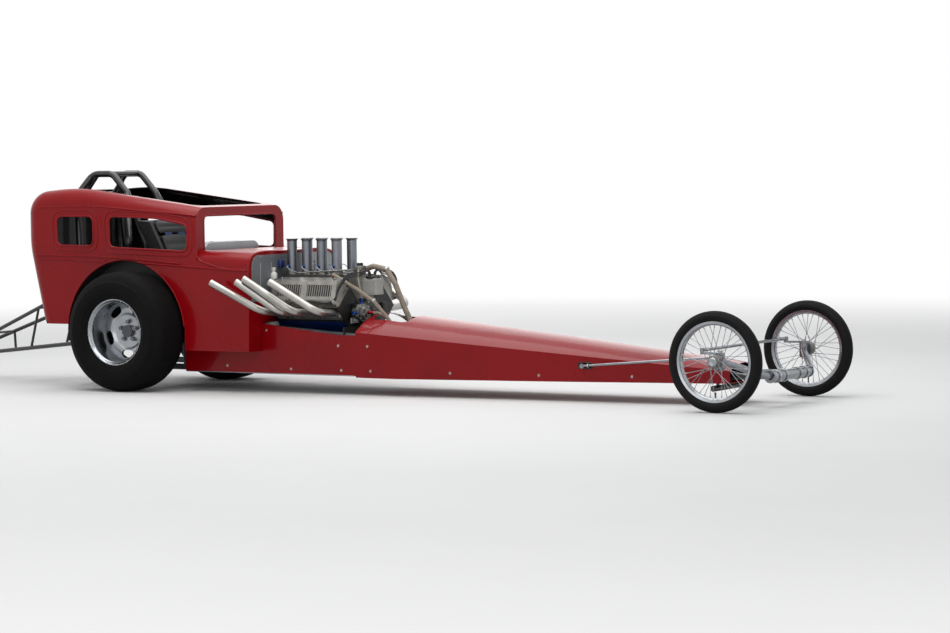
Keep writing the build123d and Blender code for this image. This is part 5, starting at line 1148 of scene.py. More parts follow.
@dataclass
class Slick:
    """One rear wheel: wide slick tyre, polished deep rim and slotted centre."""

    side: Side
    half_track: float = 0.545
    pad_out: float = 0.522
    slot_count: int = 5
    slot_radius: float = 0.026
    slot_stretch: float = 0.020
    slot_circle: float = 0.145
    slot_start: float = math.radians(54)
    tyre: tuple = ((375, 0), (374.7, 60), (372.5, 88), (368.5, 103), (361, 117), (350, 129), (330, 142),
                   (312, 149), (310.5, 151.5), (308.5, 149.5), (295, 153.5), (272, 153), (250, 149),
                   (248.5, 150.5), (246.5, 148), (228, 139), (212, 127), (203, 118), (199, 100))
    rim: tuple = ((197.5, 0), (197.5, 100), (199, 113), (204.5, 116.5), (207.5, 117.5), (207.5, 126),
                  (204.5, 126.5), (198.5, 122.5), (195, 114), (188, 108), (185.5, 90), (184, 0))
    centre: tuple = ((38, 0), (99, 0), (104, 2), (112, 10), (125, 16), (150, 14), (172, 6), (186, 2),
                     (186, -16), (168, -10), (140, -2), (118, -6), (101, -14), (38, -14))
    boss: tuple = ((0, -6), (36.5, -6), (36.5, 4), (33, 8), (20, 9), (17, 5), (0, 4))

    def build(self) -> None:
        """Build the tyre, the rim, the centre and the nuts, which stand for the CAD wheel."""
        name, outward = self.side.name, self.side.direction()
        body = f"rear_wheel_{name}"
        hub, pad, lip = (self.side.spot(0.0, out, REAR_AXLE_HEIGHT)
                         for out in (self.half_track, self.pad_out, self.half_track + 0.1262))
        tyre = lathe(f"slick_tyre_{name}", SLICK_RUBBER, mirrored(self.tyre), hub, outward, body, steps=96)
        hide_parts(body)
        lathe(f"rear_rim_{name}", POLISHED_ALUMINIUM, mirrored(self.rim), hub, outward, body, steps=96)
        centre = turned(f"rear_wheel_centre_{name}", self.centre, pad, outward, steps=80)
        self.cut_slots(centre, placed(pad, outward))
        dress(centre, POLISHED_ALUMINIUM, body)
        bolts(f"rear_wheel_nuts_{name}", ring(pad, outward, 0.059, 5, 18), 12.5, 18, CHROME, body,
              socket=0.35)
        bolts(f"rear_rim_screws_{name}", ring(lip, outward, 0.2035, 16, 6), 4.2, 3, body=body, sides=16,
              socket=0.4)
        lathe(f"rear_axle_cap_{name}", OILED_IRON, self.boss, pad, outward, body, steps=32)

    def cut_slots(self, centre: bpy.types.Object, frame: Matrix) -> None:
        """Cut the long holes of the centre with rounded cutters.

        Args:
            centre: Solid centre of the wheel.
            frame: Frame of the mounting pad, Z outwards.
        """
        bpy.ops.mesh.primitive_cylinder_add(vertices=32, radius=self.slot_radius, depth=0.12)
        cutter = bpy.context.object
        bpy.ops.object.mode_set(mode="EDIT")
        move_vertices(cutter, lambda place: place + Vector((0, math.copysign(self.slot_stretch, place.y), 0)))
        bpy.ops.object.mode_set(mode="OBJECT")
        angles = [self.slot_start + FULL_TURN * number / self.slot_count for number in range(self.slot_count)]
        for copy in copies_of(cutter, [frame @ Matrix.Rotation(angle, 4, "Z")
                                       @ Matrix.Translation((self.slot_circle, 0, 0)) for angle in angles]):
            apply_modifier(centre, "BOOLEAN", operation="DIFFERENCE", object=copy)
            bpy.data.objects.remove(copy, do_unlink=True)
        take(centre)
        bpy.ops.object.shade_smooth_by_angle(angle=SMOOTH_ANGLE)


@dataclass
class WireWheel:
    """One front wheel: narrow grooved tyre, polished rim, laced spokes and cast hub."""

    side: Side
    wheelbase: float = 4.146
    axle_height: float = 0.284
    half_track: float = 0.624
    hub_out: float = 0.604
    spoke_count: int = 36
    spoke_crossing: float = 5.2
    flange_radius: float = 0.0345
    flanges: tuple = (0.0028, 0.0405)
    seat_radius: float = 0.2055
    seat_shift: float = 0.004
    tyre: tuple = ((284, 0), (283.8, 6), (281.2, 6.8), (281.2, 8.5), (283.2, 9.3), (281.5, 14.5),
                   (278.6, 15.5),
                   (278.2, 17.2), (279.8, 18.2), (275.5, 24), (272.2, 24.8), (270.8, 26.6), (272, 27.6),
                   (265, 32.8), (255, 36.3), (246, 36.4), (237, 32.5), (229, 26.5), (222.5, 22.5), (220, 16))
    rim: tuple = ((218.5, 0), (218.5, 16.5), (224.5, 19), (228.5, 20), (229, 24), (226.5, 25), (222.5, 23.8),
                  (216.5, 21.8), (212.5, 20.5), (210, 14), (204.5, 10), (203.5, 0))
    hub: tuple = ((12.5, 0), (36, 0), (38, 1), (38, 5), (36, 6), (24, 9), (22, 13), (22, 30), (24, 34),
                  (37, 37),
                  (38, 38), (38, 43), (36, 44), (33, 46), (31, 49), (12.5, 49))
    hub_cap: tuple = ((0, 46), (29, 46), (29, 54), (26.5, 60), (22, 63.5), (16.5, 63.5), (15, 61), (0, 61))
    valve: tuple = ((0, 0), (3.6, 0), (3.6, 22), (4.4, 23), (4.4, 33), (3, 35), (0, 35))
    nipple: tuple = ((0, -4), (4.2, -4), (4.2, 2), (3, 4), (3, 16), (0, 16))

    def spot(self, out: float, up: float = 0.0, ahead: float = 0.0) -> Vector:
        """Return a place on the wheel's side of the car, measured up and ahead from its axle."""
        return self.side.spot(self.wheelbase + ahead, out, self.axle_height + up)

    def build(self) -> None:
        """Build the tyre, rim, hub and spokes, which stand for the CAD wheel."""
        name, outward = self.side.name, self.side.direction()
        body = f"front_wheel_{name}"
        middle, inner = self.spot(self.half_track), self.spot(self.hub_out)
        tyre = lathe(f"front_tyre_{name}", TYRE_RUBBER, mirrored(self.tyre), middle, outward, body, steps=96)
        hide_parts(body)
        lathe(f"front_rim_{name}", POLISHED_ALUMINIUM, mirrored(self.rim), middle, outward, body, steps=96)
        lathe(f"front_hub_{name}", CAST_ALUMINIUM, self.hub, inner, outward, body)
        lathe(f"front_hub_cap_{name}", POLISHED_ALUMINIUM, self.hub_cap, inner, outward, body, steps=8,
              bevel=0.0012)
        screws = ring(self.spot(self.hub_out + 0.0455), outward, 0.0335, 8, 22.5)
        bolts(f"front_hub_screws_{name}", screws, 3, 3, body=body, socket=0.3)
        stem = self.spot(self.half_track, -0.2045)
        lathe(f"front_valve_{name}", BLACK_RUBBER, self.valve, stem, UPWARD, body, steps=12)
        self.build_spokes(body, middle)

    def build_spokes(self, body: str, middle: Vector) -> None:
        """Lace the spokes crosswise between hub flanges and rim, with their nipples.

        Args:
            body: Body of the wheel.
            middle: Middle of the wheel.
        """
        clear_selection()
        bpy.ops.mesh.primitive_cylinder_add(vertices=8, radius=0.0017, depth=1.0, location=(0, 0, 0.5))
        master = bpy.context.object
        bpy.ops.object.transform_apply(location=True)
        frames, nipples = [], []
        for number in range(self.spoke_count):
            outer = number % 2
            crossing = self.spoke_crossing if number % 4 < 2 else -self.spoke_crossing
            angle, lace = (FULL_TURN * step / self.spoke_count for step in (number, number + crossing))
            start = self.spot(self.hub_out + self.flanges[outer], self.flange_radius * math.sin(lace),
                              self.flange_radius * math.cos(lace))
            end = middle + self.side.direction(self.seat_shift if outer else -self.seat_shift,
                                               self.seat_radius * math.sin(angle),
                                               self.seat_radius * math.cos(angle))
            run = end - start
            frames.append(placed(start, run) @ Matrix.Diagonal((1, 1, run.length, 1)))
            nipples.append((end, -run.normalized()))
        spokes = join(copies_of(master, frames), f"front_spokes_{self.side.name}")
        dress(spokes, CHROME, body)
        nipple = turned("nipple", self.nipple, steps=8)
        dress(spread(nipple, f"front_nipples_{self.side.name}", nipples), POLISHED_ALUMINIUM, body)


@dataclass
class WheelieWheels:
    """The two small wheels on the tail bars."""

    reach: float = 1.880
    height: float = 0.130
    half_track: float = 0.087
    tyre: tuple = ((46, -16), (60, -17), (67, -13), (70, -5), (70, 5), (67, 13), (60, 17), (46, 16))
    hub: tuple = ((10.1, -17), (22, -17), (24, -12), (42, -9), (47, -14), (47, 14), (42, 9), (24, 12),
                  (22, 17),
                  (10.1, 17))
    axle: tuple = ((0, 0), (9.8, 0), (9.8, 208), (0, 208))

    def build(self) -> None:
        """Turn the tyres, their hubs and the axle, which stand for the CAD pair."""
        body = "wheelie_wheels"
        for side in SIDES:
            middle, outward = side.spot(-self.reach, self.half_track, self.height), side.direction()
            lathe(f"small_tyre_{side.name}", TYRE_RUBBER, self.tyre, middle, outward, body, steps=40)
            lathe(f"small_hub_{side.name}", POLISHED_ALUMINIUM, self.hub, middle, outward, body, steps=40)
        axle = lathe("small_axle", ZINC_STEEL, self.axle, spot(-self.reach, -0.104, self.height), LEFTWARD,
                     body, steps=20, bevel=0.0015)
        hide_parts(body)
        bolts("small_axle_nuts", [(side.spot(-self.reach, 0.1035, self.height), side.direction())
                                  for side in SIDES], 12, 6, body=body, socket=-0.4)


@dataclass
class Engine:
    """Small parts of the engine: bolts, leads, nozzles, hose ends, front cover and brackets."""

    bolt_x: tuple = (0.985, 1.091, 1.197, 1.303, 1.409)
    field_x: tuple = (1.0845, 1.3095)
    stud_x: tuple = (1.00, 1.39)
    port_x: tuple = (1.010, 1.150, 1.250, 1.400)
    plug_x: tuple = (1.062, 1.104, 1.302, 1.352)
    stack_x: tuple = tuple(0.957 + 0.1107 * number for number in range(4))
    stack_y: float = 0.0865
    rod_x: tuple = (0.930, 1.380)
    manifold_top: float = 0.725
    magneto_x: float = 1.497
    valve_x: float = 1.404
    cover_front_x: float = 1.485
    hub_front_x: float = 1.513
    crank_height: float = 0.335
    cam_height: float = 0.470
    pump: tuple = (1.555, -0.142, 0.495)
    bracket: tuple = (1.494, -0.205, 0.450)
    bottle: tuple = (0.916, -0.232, 0.662)
    boot: tuple = ((0, 0), (9.5, 0), (10, 4), (8.5, 8), (8.8, 26), (7.5, 34), (5.5, 52), (0, 52))
    jet: tuple = ((0, -4), (6.2, -4), (6.2, 4), (4.5, 6), (4.5, 13), (6.8, 14), (6.8, 20), (4, 22), (0, 22))
    fitting: tuple = ((0, -6), (11, -6), (11, 8), (8.5, 10), (8.5, 20), (11.5, 22), (11.5, 34), (8, 36),
                      (0, 36))
    damper: tuple = ((68, 0), (84, 0), (86, 2), (86, 9), (81, 11), (81, 15), (86, 17), (86, 23), (84, 25),
                     (68, 25))
    cam_cover: tuple = ((0, 0), (52, 0), (54, 2), (54, 10), (48, 13), (30, 13), (28, 18), (0, 18))
    magneto_cap: tuple = ((0, 0), (44, 0), (45, 3), (45, 12), (41, 17), (22, 21), (20, 27), (0, 28))
    magneto_clamp: tuple = ((30, 0), (41, 0), (42, 2), (42, 10), (30, 11))
    bottle_form: tuple = ((0, 0), (19, 0), (21, 3), (21, 60), (18, 74), (10, 82), (10, 94), (13, 95), (13, 108),
                          (0, 110))
    bottle_strap: tuple = ((20.5, 30), (22.5, 30), (22.5, 40), (20.5, 40))
    # Name, place and direction of each hose end, and the hose's radius in millimetres
    hose_ends: tuple = (("manifold_near", (1.290, -0.110, 0.705), (0.022, -0.055, 0.017), 11),
                        ("tank_near", (1.775, -0.150, 0.365), (-0.075, -0.010, 0.105), 11),
                        ("manifold_big", (1.375, 0.058, 0.715), (0.017, 0.0, 0.033), 17),
                        ("tank_big", (1.770, 0.050, 0.370), (-0.060, 0.004, 0.120), 17))
    hose_clips: tuple = (("upper", (1.420, -0.225, 0.696), (1.0, 0.0, -0.5), 11),
                         ("lower", (1.620, -0.190, 0.570), (0.7, 0.12, -1.0), 11),
                         ("big", (1.560, 0.062, 0.752), (1.0, 0.0, -0.55), 17))

    def build(self) -> None:
        """Build every group of small parts."""
        for side in SIDES:
            self.build_valve_cover(side)
            self.build_leads(side)
            self.build_nozzles(side)
            self.build_header_bolts(side)
        self.build_magneto()
        self.build_barrel_valve()
        self.build_front(self.cover_front_x)
        self.build_hose_ends()
        self.build_pump()
        self.build_brackets()

    def build_valve_cover(self, side: Side) -> None:
        """Bolt one valve cover down along its outer ledge, darken its ribbed fields and add its top studs.

        Args:
            side: Side of the car.
        """
        bolts(f"valve_cover_bolts_{side.name}",
              [(side.spot(x, 0.335, 0.5725), side.direction()) for x in self.bolt_x], 6, 6, sides=12)
        flank = side.direction(0.960, 0.279)
        for number, x in enumerate(self.field_x):
            dress(block(f"valve_cover_inlay_{side.name}_{number + 1}",
                        side.spot(x, 0.319, 0.635) - flank * 0.0022, (0.178, 0.072, 0.0016), 0.0004,
                        sunk=0.0002, direction=flank), INNER_BLACK)
        bolts(f"valve_cover_studs_{side.name}",
              [(side.spot(x, 0.262, 0.7003), side.direction(0.24, 0.97)) for x in self.stud_x], 8.5, 8,
              CHROME, socket=-0.5)

    def build_leads(self, side: Side) -> None:
        """Lead four insulated wires from the magneto over the head to their angled boots.

        Args:
            side: Side of the car.
        """
        down = side.direction(0.7071, -0.7071)
        for number, x in enumerate(self.plug_x):
            base = side.spot(x, 0.290, 0.4942)
            lathe(f"plug_boot_{side.name}_{number + 1}", BLACK_RUBBER, self.boot, base - down * 0.003, down,
                  steps=20)
            rise = 0.008 * number
            # X, distance from the middle and Z along the lead; each lead lies under the one before
            route = ((1.492, 0.016 + 0.007 * number, 0.705), (1.494, 0.028 + rise, 0.742),
                     (1.486, 0.130, 0.741 - rise), (1.476, 0.262, 0.730 - rise), (1.462, 0.338, 0.655 - rise),
                     (1.436, 0.351, 0.582 - rise), ((x + 1.436) / 2, 0.352, 0.571 - rise),
                     (x + 0.016, 0.353, 0.562 - rise), (x + 0.002, 0.348, 0.508))
            bar(f"plug_lead_{side.name}_{number + 1}", BLACK_RUBBER,
                [*[side.spot(*place) for place in route], base + down * 0.047], 3.1)
        bolts(f"lead_comb_{side.name}", [(side.spot(1.440, 0.3495, 0.568), side.direction(1, 0.25))], 11, 14,
              GREY_NYLON, sides=4, socket=0.3)

    def build_nozzles(self, side: Side) -> None:
        """Screw a nozzle into each intake stack, with its line from the divider, and bolt the stack feet.

        Args:
            side: Side of the car.
        """
        outward, foot_shift = side.direction(0.94, 0.34), 0.034
        nozzles, feet = [], []
        for number, x in enumerate(self.stack_x):
            seat = side.spot(x, self.stack_y + 0.030, 0.770)
            nozzles.append((seat, outward))
            route = ((x + 0.040, 0.168, 0.752), ((x + 1.40) / 2 + 0.02, 0.160, 0.744 + 0.004 * number),
                     (1.372, 0.100 - 0.008 * number, 0.752), (1.396, 0.030, 0.757))
            bar(f"nozzle_line_{side.name}_{number + 1}", BARE_STEEL,
                [seat + outward * 0.020, seat + outward * 0.040 + Vector((0.004, 0, -0.004)),
                 *[side.spot(*place) for place in route]], 2.6)
            for shift in (-foot_shift, foot_shift):
                feet.append((side.spot(x + shift, self.stack_y + shift, self.manifold_top), UPWARD))
        dress(spread(turned("jet", self.jet, steps=6), f"nozzles_{side.name}", nozzles), BLUE_ANODISED)
        bolts(f"stack_foot_bolts_{side.name}", feet, 5.5, 6)
        bar(f"throttle_rod_{side.name}", BARE_STEEL, [side.spot(x, 0.044, 0.7335) for x in self.rod_x], 4.2,
            smooth=False)

    def build_header_bolts(self, side: Side) -> None:
        """Bolt each header flange to the head on both sides of its pipe."""
        across, half_pitch = side.direction(0.7071, -0.7071), 0.036
        bolts(f"header_bolts_{side.name}",
              [(side.spot(x + shift, 0.2787, 0.4829) + across * 0.006, across)
               for x in self.port_x for shift in (-half_pitch, half_pitch)], 6.5, 7)

    def build_magneto(self) -> None:
        """Cap the magneto with its lead tower, and add its screws, moulded seams and clamp."""
        x = self.magneto_x
        lathe("magneto_cap", BLACK_RUBBER, self.magneto_cap, spot(x, 0.0, 0.6995), UPWARD, steps=40)
        bolts("magneto_screws", [(spot(x + ahead * 0.046, out * 0.036, 0.6998), UPWARD)
                                 for ahead in (-1, 1) for out in (-1, 1)], 3.8, 3.5, sides=16)
        seam = rounded_loop(box_corners(0.0475, 0.0575), 0.016)
        for number, z in enumerate((0.612, 0.688)):
            bar(f"magneto_seam_{number + 1}", GREY_NYLON, [spot(x + ahead, out, z) for ahead, out in seam],
                1.6, smooth=False, closed=True)
        lathe("magneto_clamp", ZINC_STEEL, self.magneto_clamp, spot(1.465, 0, 0.566), UPWARD, steps=32)

    def build_barrel_valve(self) -> None:
        """Stand the barrel valve between the stacks, with its cap and white disc."""
        x = self.valve_x
        dress(block("barrel_valve", spot(x, 0.0, 0.752), (0.052, 0.060, 0.046), 0.004, sunk=-0.003),
              CAST_ALUMINIUM)
        lathe("barrel_valve_cap", OILED_IRON, ((0, 0), (19, 0), (20, 2), (20, 14), (17, 18), (0, 18)),
              spot(x, 0.0, 0.776), UPWARD, steps=28)
        lathe("barrel_valve_disc", WHITE_POLYTHENE, ((0, 0), (13, 0), (13, 2), (10, 2.8), (0, 2.8)),
              spot(x, 0.0, 0.794), UPWARD, steps=28)

    def build_front(self, front: float) -> None:
        """Bolt the front cover and the crank hub, and fit the damper, the cam drive's cover and the outlets.

        Args:
            front: X of the cover's front face.
        """
        crank, cam = spot(self.hub_front_x, 0, self.crank_height), spot(front, 0, self.cam_height)
        rim = [(out * 0.0905, z) for out in (-1, 1) for z in (0.292, 0.350, 0.408, 0.466, 0.520)]
        rim += [(y, z) for y in (-0.038, 0.038) for z in (0.2445, 0.5555)]
        bolts("front_cover_bolts", [(spot(front, y, z), FORWARD) for y, z in rim], 5.5, 6)
        lathe("crank_damper", OILED_IRON, self.damper, spot(1.4870, 0, self.crank_height), FORWARD, steps=56)
        bolts("crank_hub_bolts", ring(crank, FORWARD, 0.046, 6), 7, 7)
        bolts("crank_centre_bolt", [(crank, FORWARD)], 15, 12, OILED_IRON)
        lathe("cam_drive_cover", OILED_IRON, self.cam_cover, cam - Vector(FORWARD) * 0.0005, FORWARD, steps=40)
        bolts("cam_drive_bolts", ring(cam + Vector(FORWARD) * 0.0115, FORWARD, 0.040, 6, 30), 4.8, 5)
        for side in SIDES:
            dress(block(f"water_outlet_{side.name}", side.spot(1.4655, 0.142, 0.520), (0.050, 0.052, 0.048),
                        0.006, sunk=-0.004, direction=FORWARD), OILED_IRON)

    def build_hose_ends(self) -> None:
        """Fit a red socket and a blue hexagon nut to each end of both fuel hoses, and clip the hoses."""
        for name, place, away, radius in self.hose_ends:
            axis, foot = Vector(away).normalized(), spot(*place)
            bore, flat = radius * 0.6, radius + 6.5
            nut = ((bore, 0), (flat, 0), (flat, 16), (radius + 3, 19), (bore, 19))
            lathe(f"hose_nut_{name}", BLUE_ANODISED, nut, foot, axis, steps=6)
            bore, rim = radius * 0.9, radius + 4.8
            socket = ((bore, 19), (radius + 4, 19), (rim, 22), (rim, 36), (radius + 3, 44), (bore, 44))
            lathe(f"hose_socket_{name}", RED_ANODISED, socket, foot, axis, steps=24)
        for name, place, axis, radius in self.hose_clips:
            half = ((radius + 3, 4), (radius + 2.2, 6), (radius - 1, 6))
            band = [*[(out, -along) for out, along in reversed(half)], *half]
            lathe(f"hose_clip_{name}", ZINC_STEEL, band, spot(*place), axis, steps=28)

    def build_pump(self) -> None:
        """Bolt the fuel pump's flange, screw three fittings into it and lead its two hoses away."""
        x, y, z = self.pump
        bolts("pump_bolts", ring(spot(1.541, y, z), FORWARD, 0.0355, 6, 15), 5.5, 6)
        bolts("pump_flange_bolts", ring(spot(1.517, y, z), FORWARD, 0.0495, 4, 45), 5.5, 6)
        port_x, port_reach = 1.500, 0.052
        for name, place, axis, finish in (("top", (port_x, y, z + port_reach), UPWARD, BLUE_ANODISED),
                                          ("front", (x, y, z), FORWARD, RED_ANODISED),
                                          ("side", (port_x, y - port_reach, z), (0, -1, 0), BLUE_ANODISED)):
            lathe(f"pump_fitting_{name}", finish, self.fitting, spot(*place), axis, steps=6)
        # X, and Y and Z counted from the pump's middle
        feed = ((1.590, 0.0, 0.0), (1.640, -0.004, -0.006), (1.700, 0.0, -0.045), (1.735, 0.012, -0.115))
        bar("pump_feed_hose", BRAIDED_HOSE, [spot(along, y + out, z + up) for along, out, up in feed], 8.5)
        rise = ((port_x, 0.0, 0.086), (port_x, -0.010, 0.140), (1.470, 0.020, 0.205))
        bar("pump_return_line", BRAIDED_HOSE, [*[spot(along, y + out, z + up) for along, out, up in rise],
                                               spot(1.418, -0.040, 0.752)], 6.2)

    def build_brackets(self) -> None:
        """Add the bracket beside the pump, the coil box and the overflow bottle with its strap."""
        x, y, z = self.bracket
        dress(block("pump_bracket_plate", spot(x, y, z), (0.090, 0.034, 0.005), 0.002, sunk=0.001,
                    direction=FORWARD), SHEET_ALUMINIUM)
        bolts("pump_bracket_bolts",
              [(spot(x + 0.0028, y + shift, z), FORWARD) for shift in (-0.010, 0.010)], 6, 6)
        dress(block("coil_box", spot(0.915, -0.150, 0.792), (0.046, 0.050, 0.022), 0.003, sunk=-0.002,
                    direction=FORWARD), BLUE_ENAMEL)
        foot = spot(*self.bottle)
        lathe("overflow_bottle", WHITE_POLYTHENE, self.bottle_form, foot, UPWARD, steps=32)
        lathe("bottle_strap", ZINC_STEEL, self.bottle_strap, foot, UPWARD, steps=32)


@dataclass
class Bulkhead:
    """Silver bulkhead sheet above the gearbox opening, with pressed beads and rivets."""

    foot_x: float = 0.8980
    slope: float = 0.02295
    half_width: float = 0.455
    foot: float = 0.565
    top: float = 0.852
    thickness: float = 0.0030
    corner: float = 0.070
    bead_y: tuple = (-0.36, -0.24, 0.24, 0.36)
    rivet_inset: float = 0.012
    rivet_y: tuple = (-0.36, -0.24, -0.12, 0.0, 0.12, 0.24, 0.36)
    rivet_z: tuple = (0.60, 0.66, 0.72, 0.77)

    def face(self, y: float, z: float, proud: float) -> Vector:
        """Return a place in front of the firewall's slanted face."""
        return spot(self.foot_x + self.slope * (z - self.foot) + proud, y, z)

    def build(self) -> None:
        """Cut the sheet to the cowl's outline, press four beads and rivet its edge."""
        self.build_sheet()
        for number, y in enumerate(self.bead_y):
            bar(f"bulkhead_bead_{number + 1}", BULKHEAD_GREY,
                [self.face(y, self.foot + 0.030, 0.001), self.face(y, self.top - 0.050, 0.001)], 6)
        inset = self.rivet_inset
        edge = [(y, z) for z in (self.foot + inset, self.top - inset) for y in self.rivet_y]
        edge += [(side.sign * (self.half_width - inset), z) for side in SIDES for z in self.rivet_z]
        bolts("bulkhead_rivets", [(self.face(y, z, 0.0027), FORWARD) for y, z in edge], 4.5, 2.5, sides=16,
              washer=1.2, socket=-0.2)

    def build_sheet(self) -> None:
        """Shape the sheet with its two round upper corners, and lean it on the firewall."""
        clear_selection()
        height = self.top - self.foot
        bpy.ops.mesh.primitive_cube_add(size=1, scale=(self.thickness, 2 * self.half_width, height))
        sheet = bpy.context.object
        bpy.ops.object.transform_apply(location=False, rotation=False, scale=True)
        bpy.ops.object.mode_set(mode="EDIT")
        bpy.ops.mesh.select_mode(type="EDGE")
        bpy.ops.mesh.select_all(action="DESELECT")
        mesh = bmesh.from_edit_mesh(sheet.data)
        for edge in mesh.edges:
            middle = (edge.verts[0].co + edge.verts[1].co) / 2
            crosses = abs(middle.x) < self.thickness / 4
            edge.select_set(crosses and middle.z > 0.4 * height and abs(middle.y) > 0.8 * self.half_width)
        bmesh.update_edit_mesh(sheet.data)
        bpy.ops.mesh.bevel(offset=self.corner, segments=6, affect="EDGES")
        bpy.ops.object.mode_set(mode="OBJECT")
        sheet.location = self.face(0.0, (self.foot + self.top) / 2, 0.0012)
        sheet.rotation_euler.y = math.atan(self.slope)
        dress(finish_piece(sheet, "bulkhead_sheet", 0.0008, 1), BULKHEAD_GREY)


@dataclass
class FrontEnd:
    """Nuts, collars and caps of the front axle and the steering linkage."""

    kingpin: tuple = (4.146, 0.556)
    # Z and direction of the kingpin's two nuts
    kingpin_nuts: tuple = ((0.3312, 1), (0.2368, -1))
    cross_tube: tuple = (4.310, 0.178)
    collar_y: tuple = (0.095, 0.190)
    tie_rod: tuple = (4.034, 0.3435)
    drag_rear: tuple = (3.122, -0.288, 0.214)
    drag_front: tuple = (4.098, -0.472, 0.300)
    cap: tuple = ((0, -4), (31.5, -4), (32.2, 0), (32.2, 8), (28, 12), (20, 13), (18, 16), (0, 16))
    collar: tuple = ((31.2, -9), (36.2, -9), (37.8, -7), (37.8, 7), (36.2, 9), (31.2, 9))
    nut: tuple = ((6.8, -5), (11.8, -5), (12.5, -3), (12.5, 3), (11.8, 5), (6.8, 5))
    sleeve: tuple = ((6.8, 0), (10.5, 0), (10.5, 40), (8.5, 46), (6.8, 46))

    def build(self) -> None:
        """Fit the nuts of both sides, the cross tube's caps and the links' locking nuts."""
        for side in SIDES:
            self.build_cross_tube_end(side)
        x, y = self.kingpin
        nuts = [(side.spot(x, y, z), (0, 0, up)) for side in SIDES for z, up in self.kingpin_nuts]
        bolts("kingpin_nuts", nuts, 12.5, 9, washer=1.25, socket=0.35)
        self.build_links()

    def build_cross_tube_end(self, side: Side) -> None:
        """Close one end of the cross tube with a stepped cap, a hexagon bolt and two collars.

        Args:
            side: Side of the car.
        """
        (x, z), name, outward = self.cross_tube, side.name, side.direction()
        lathe(f"cross_tube_cap_{name}", OILED_IRON, self.cap, side.spot(x, 0.250, z), outward, steps=40)
        bolts(f"cross_tube_bolt_{name}", [(side.spot(x, 0.2655, z), outward)], 10.5, 8)
        for number, y in enumerate(self.collar_y):
            lathe(f"cross_tube_collar_{name}_{number + 1}", POLISHED_ALUMINIUM, self.collar,
                  side.spot(x, y, z), LEFTWARD, steps=40)
        bolts(f"cross_tube_screws_{name}", [(side.spot(x + 0.0375, y, z), FORWARD) for y in self.collar_y],
              4, 4, sides=16, socket=0.6)

    def build_links(self) -> None:
        """Lock the rod ends of the tie rod and of the drag link with hexagon nuts."""
        x, z = self.tie_rod
        for side in SIDES:
            lathe(f"tie_rod_nut_{side.name}", ZINC_STEEL, self.nut, side.spot(x, 0.515, z), side.direction(),
                  "tie_rod", steps=6)
            lathe(f"tie_rod_sleeve_{side.name}", CHROME, self.sleeve, side.spot(x, 0.509, z),
                  side.direction(-1), "tie_rod", steps=24)
        rear, front = spot(*self.drag_rear), spot(*self.drag_front)
        run = front - rear
        for name, share in (("rear", 0.045), ("front", 0.955)):
            lathe(f"drag_link_nut_{name}", ZINC_STEEL, self.nut, rear + run * share, run, "drag_link",
                  steps=6)


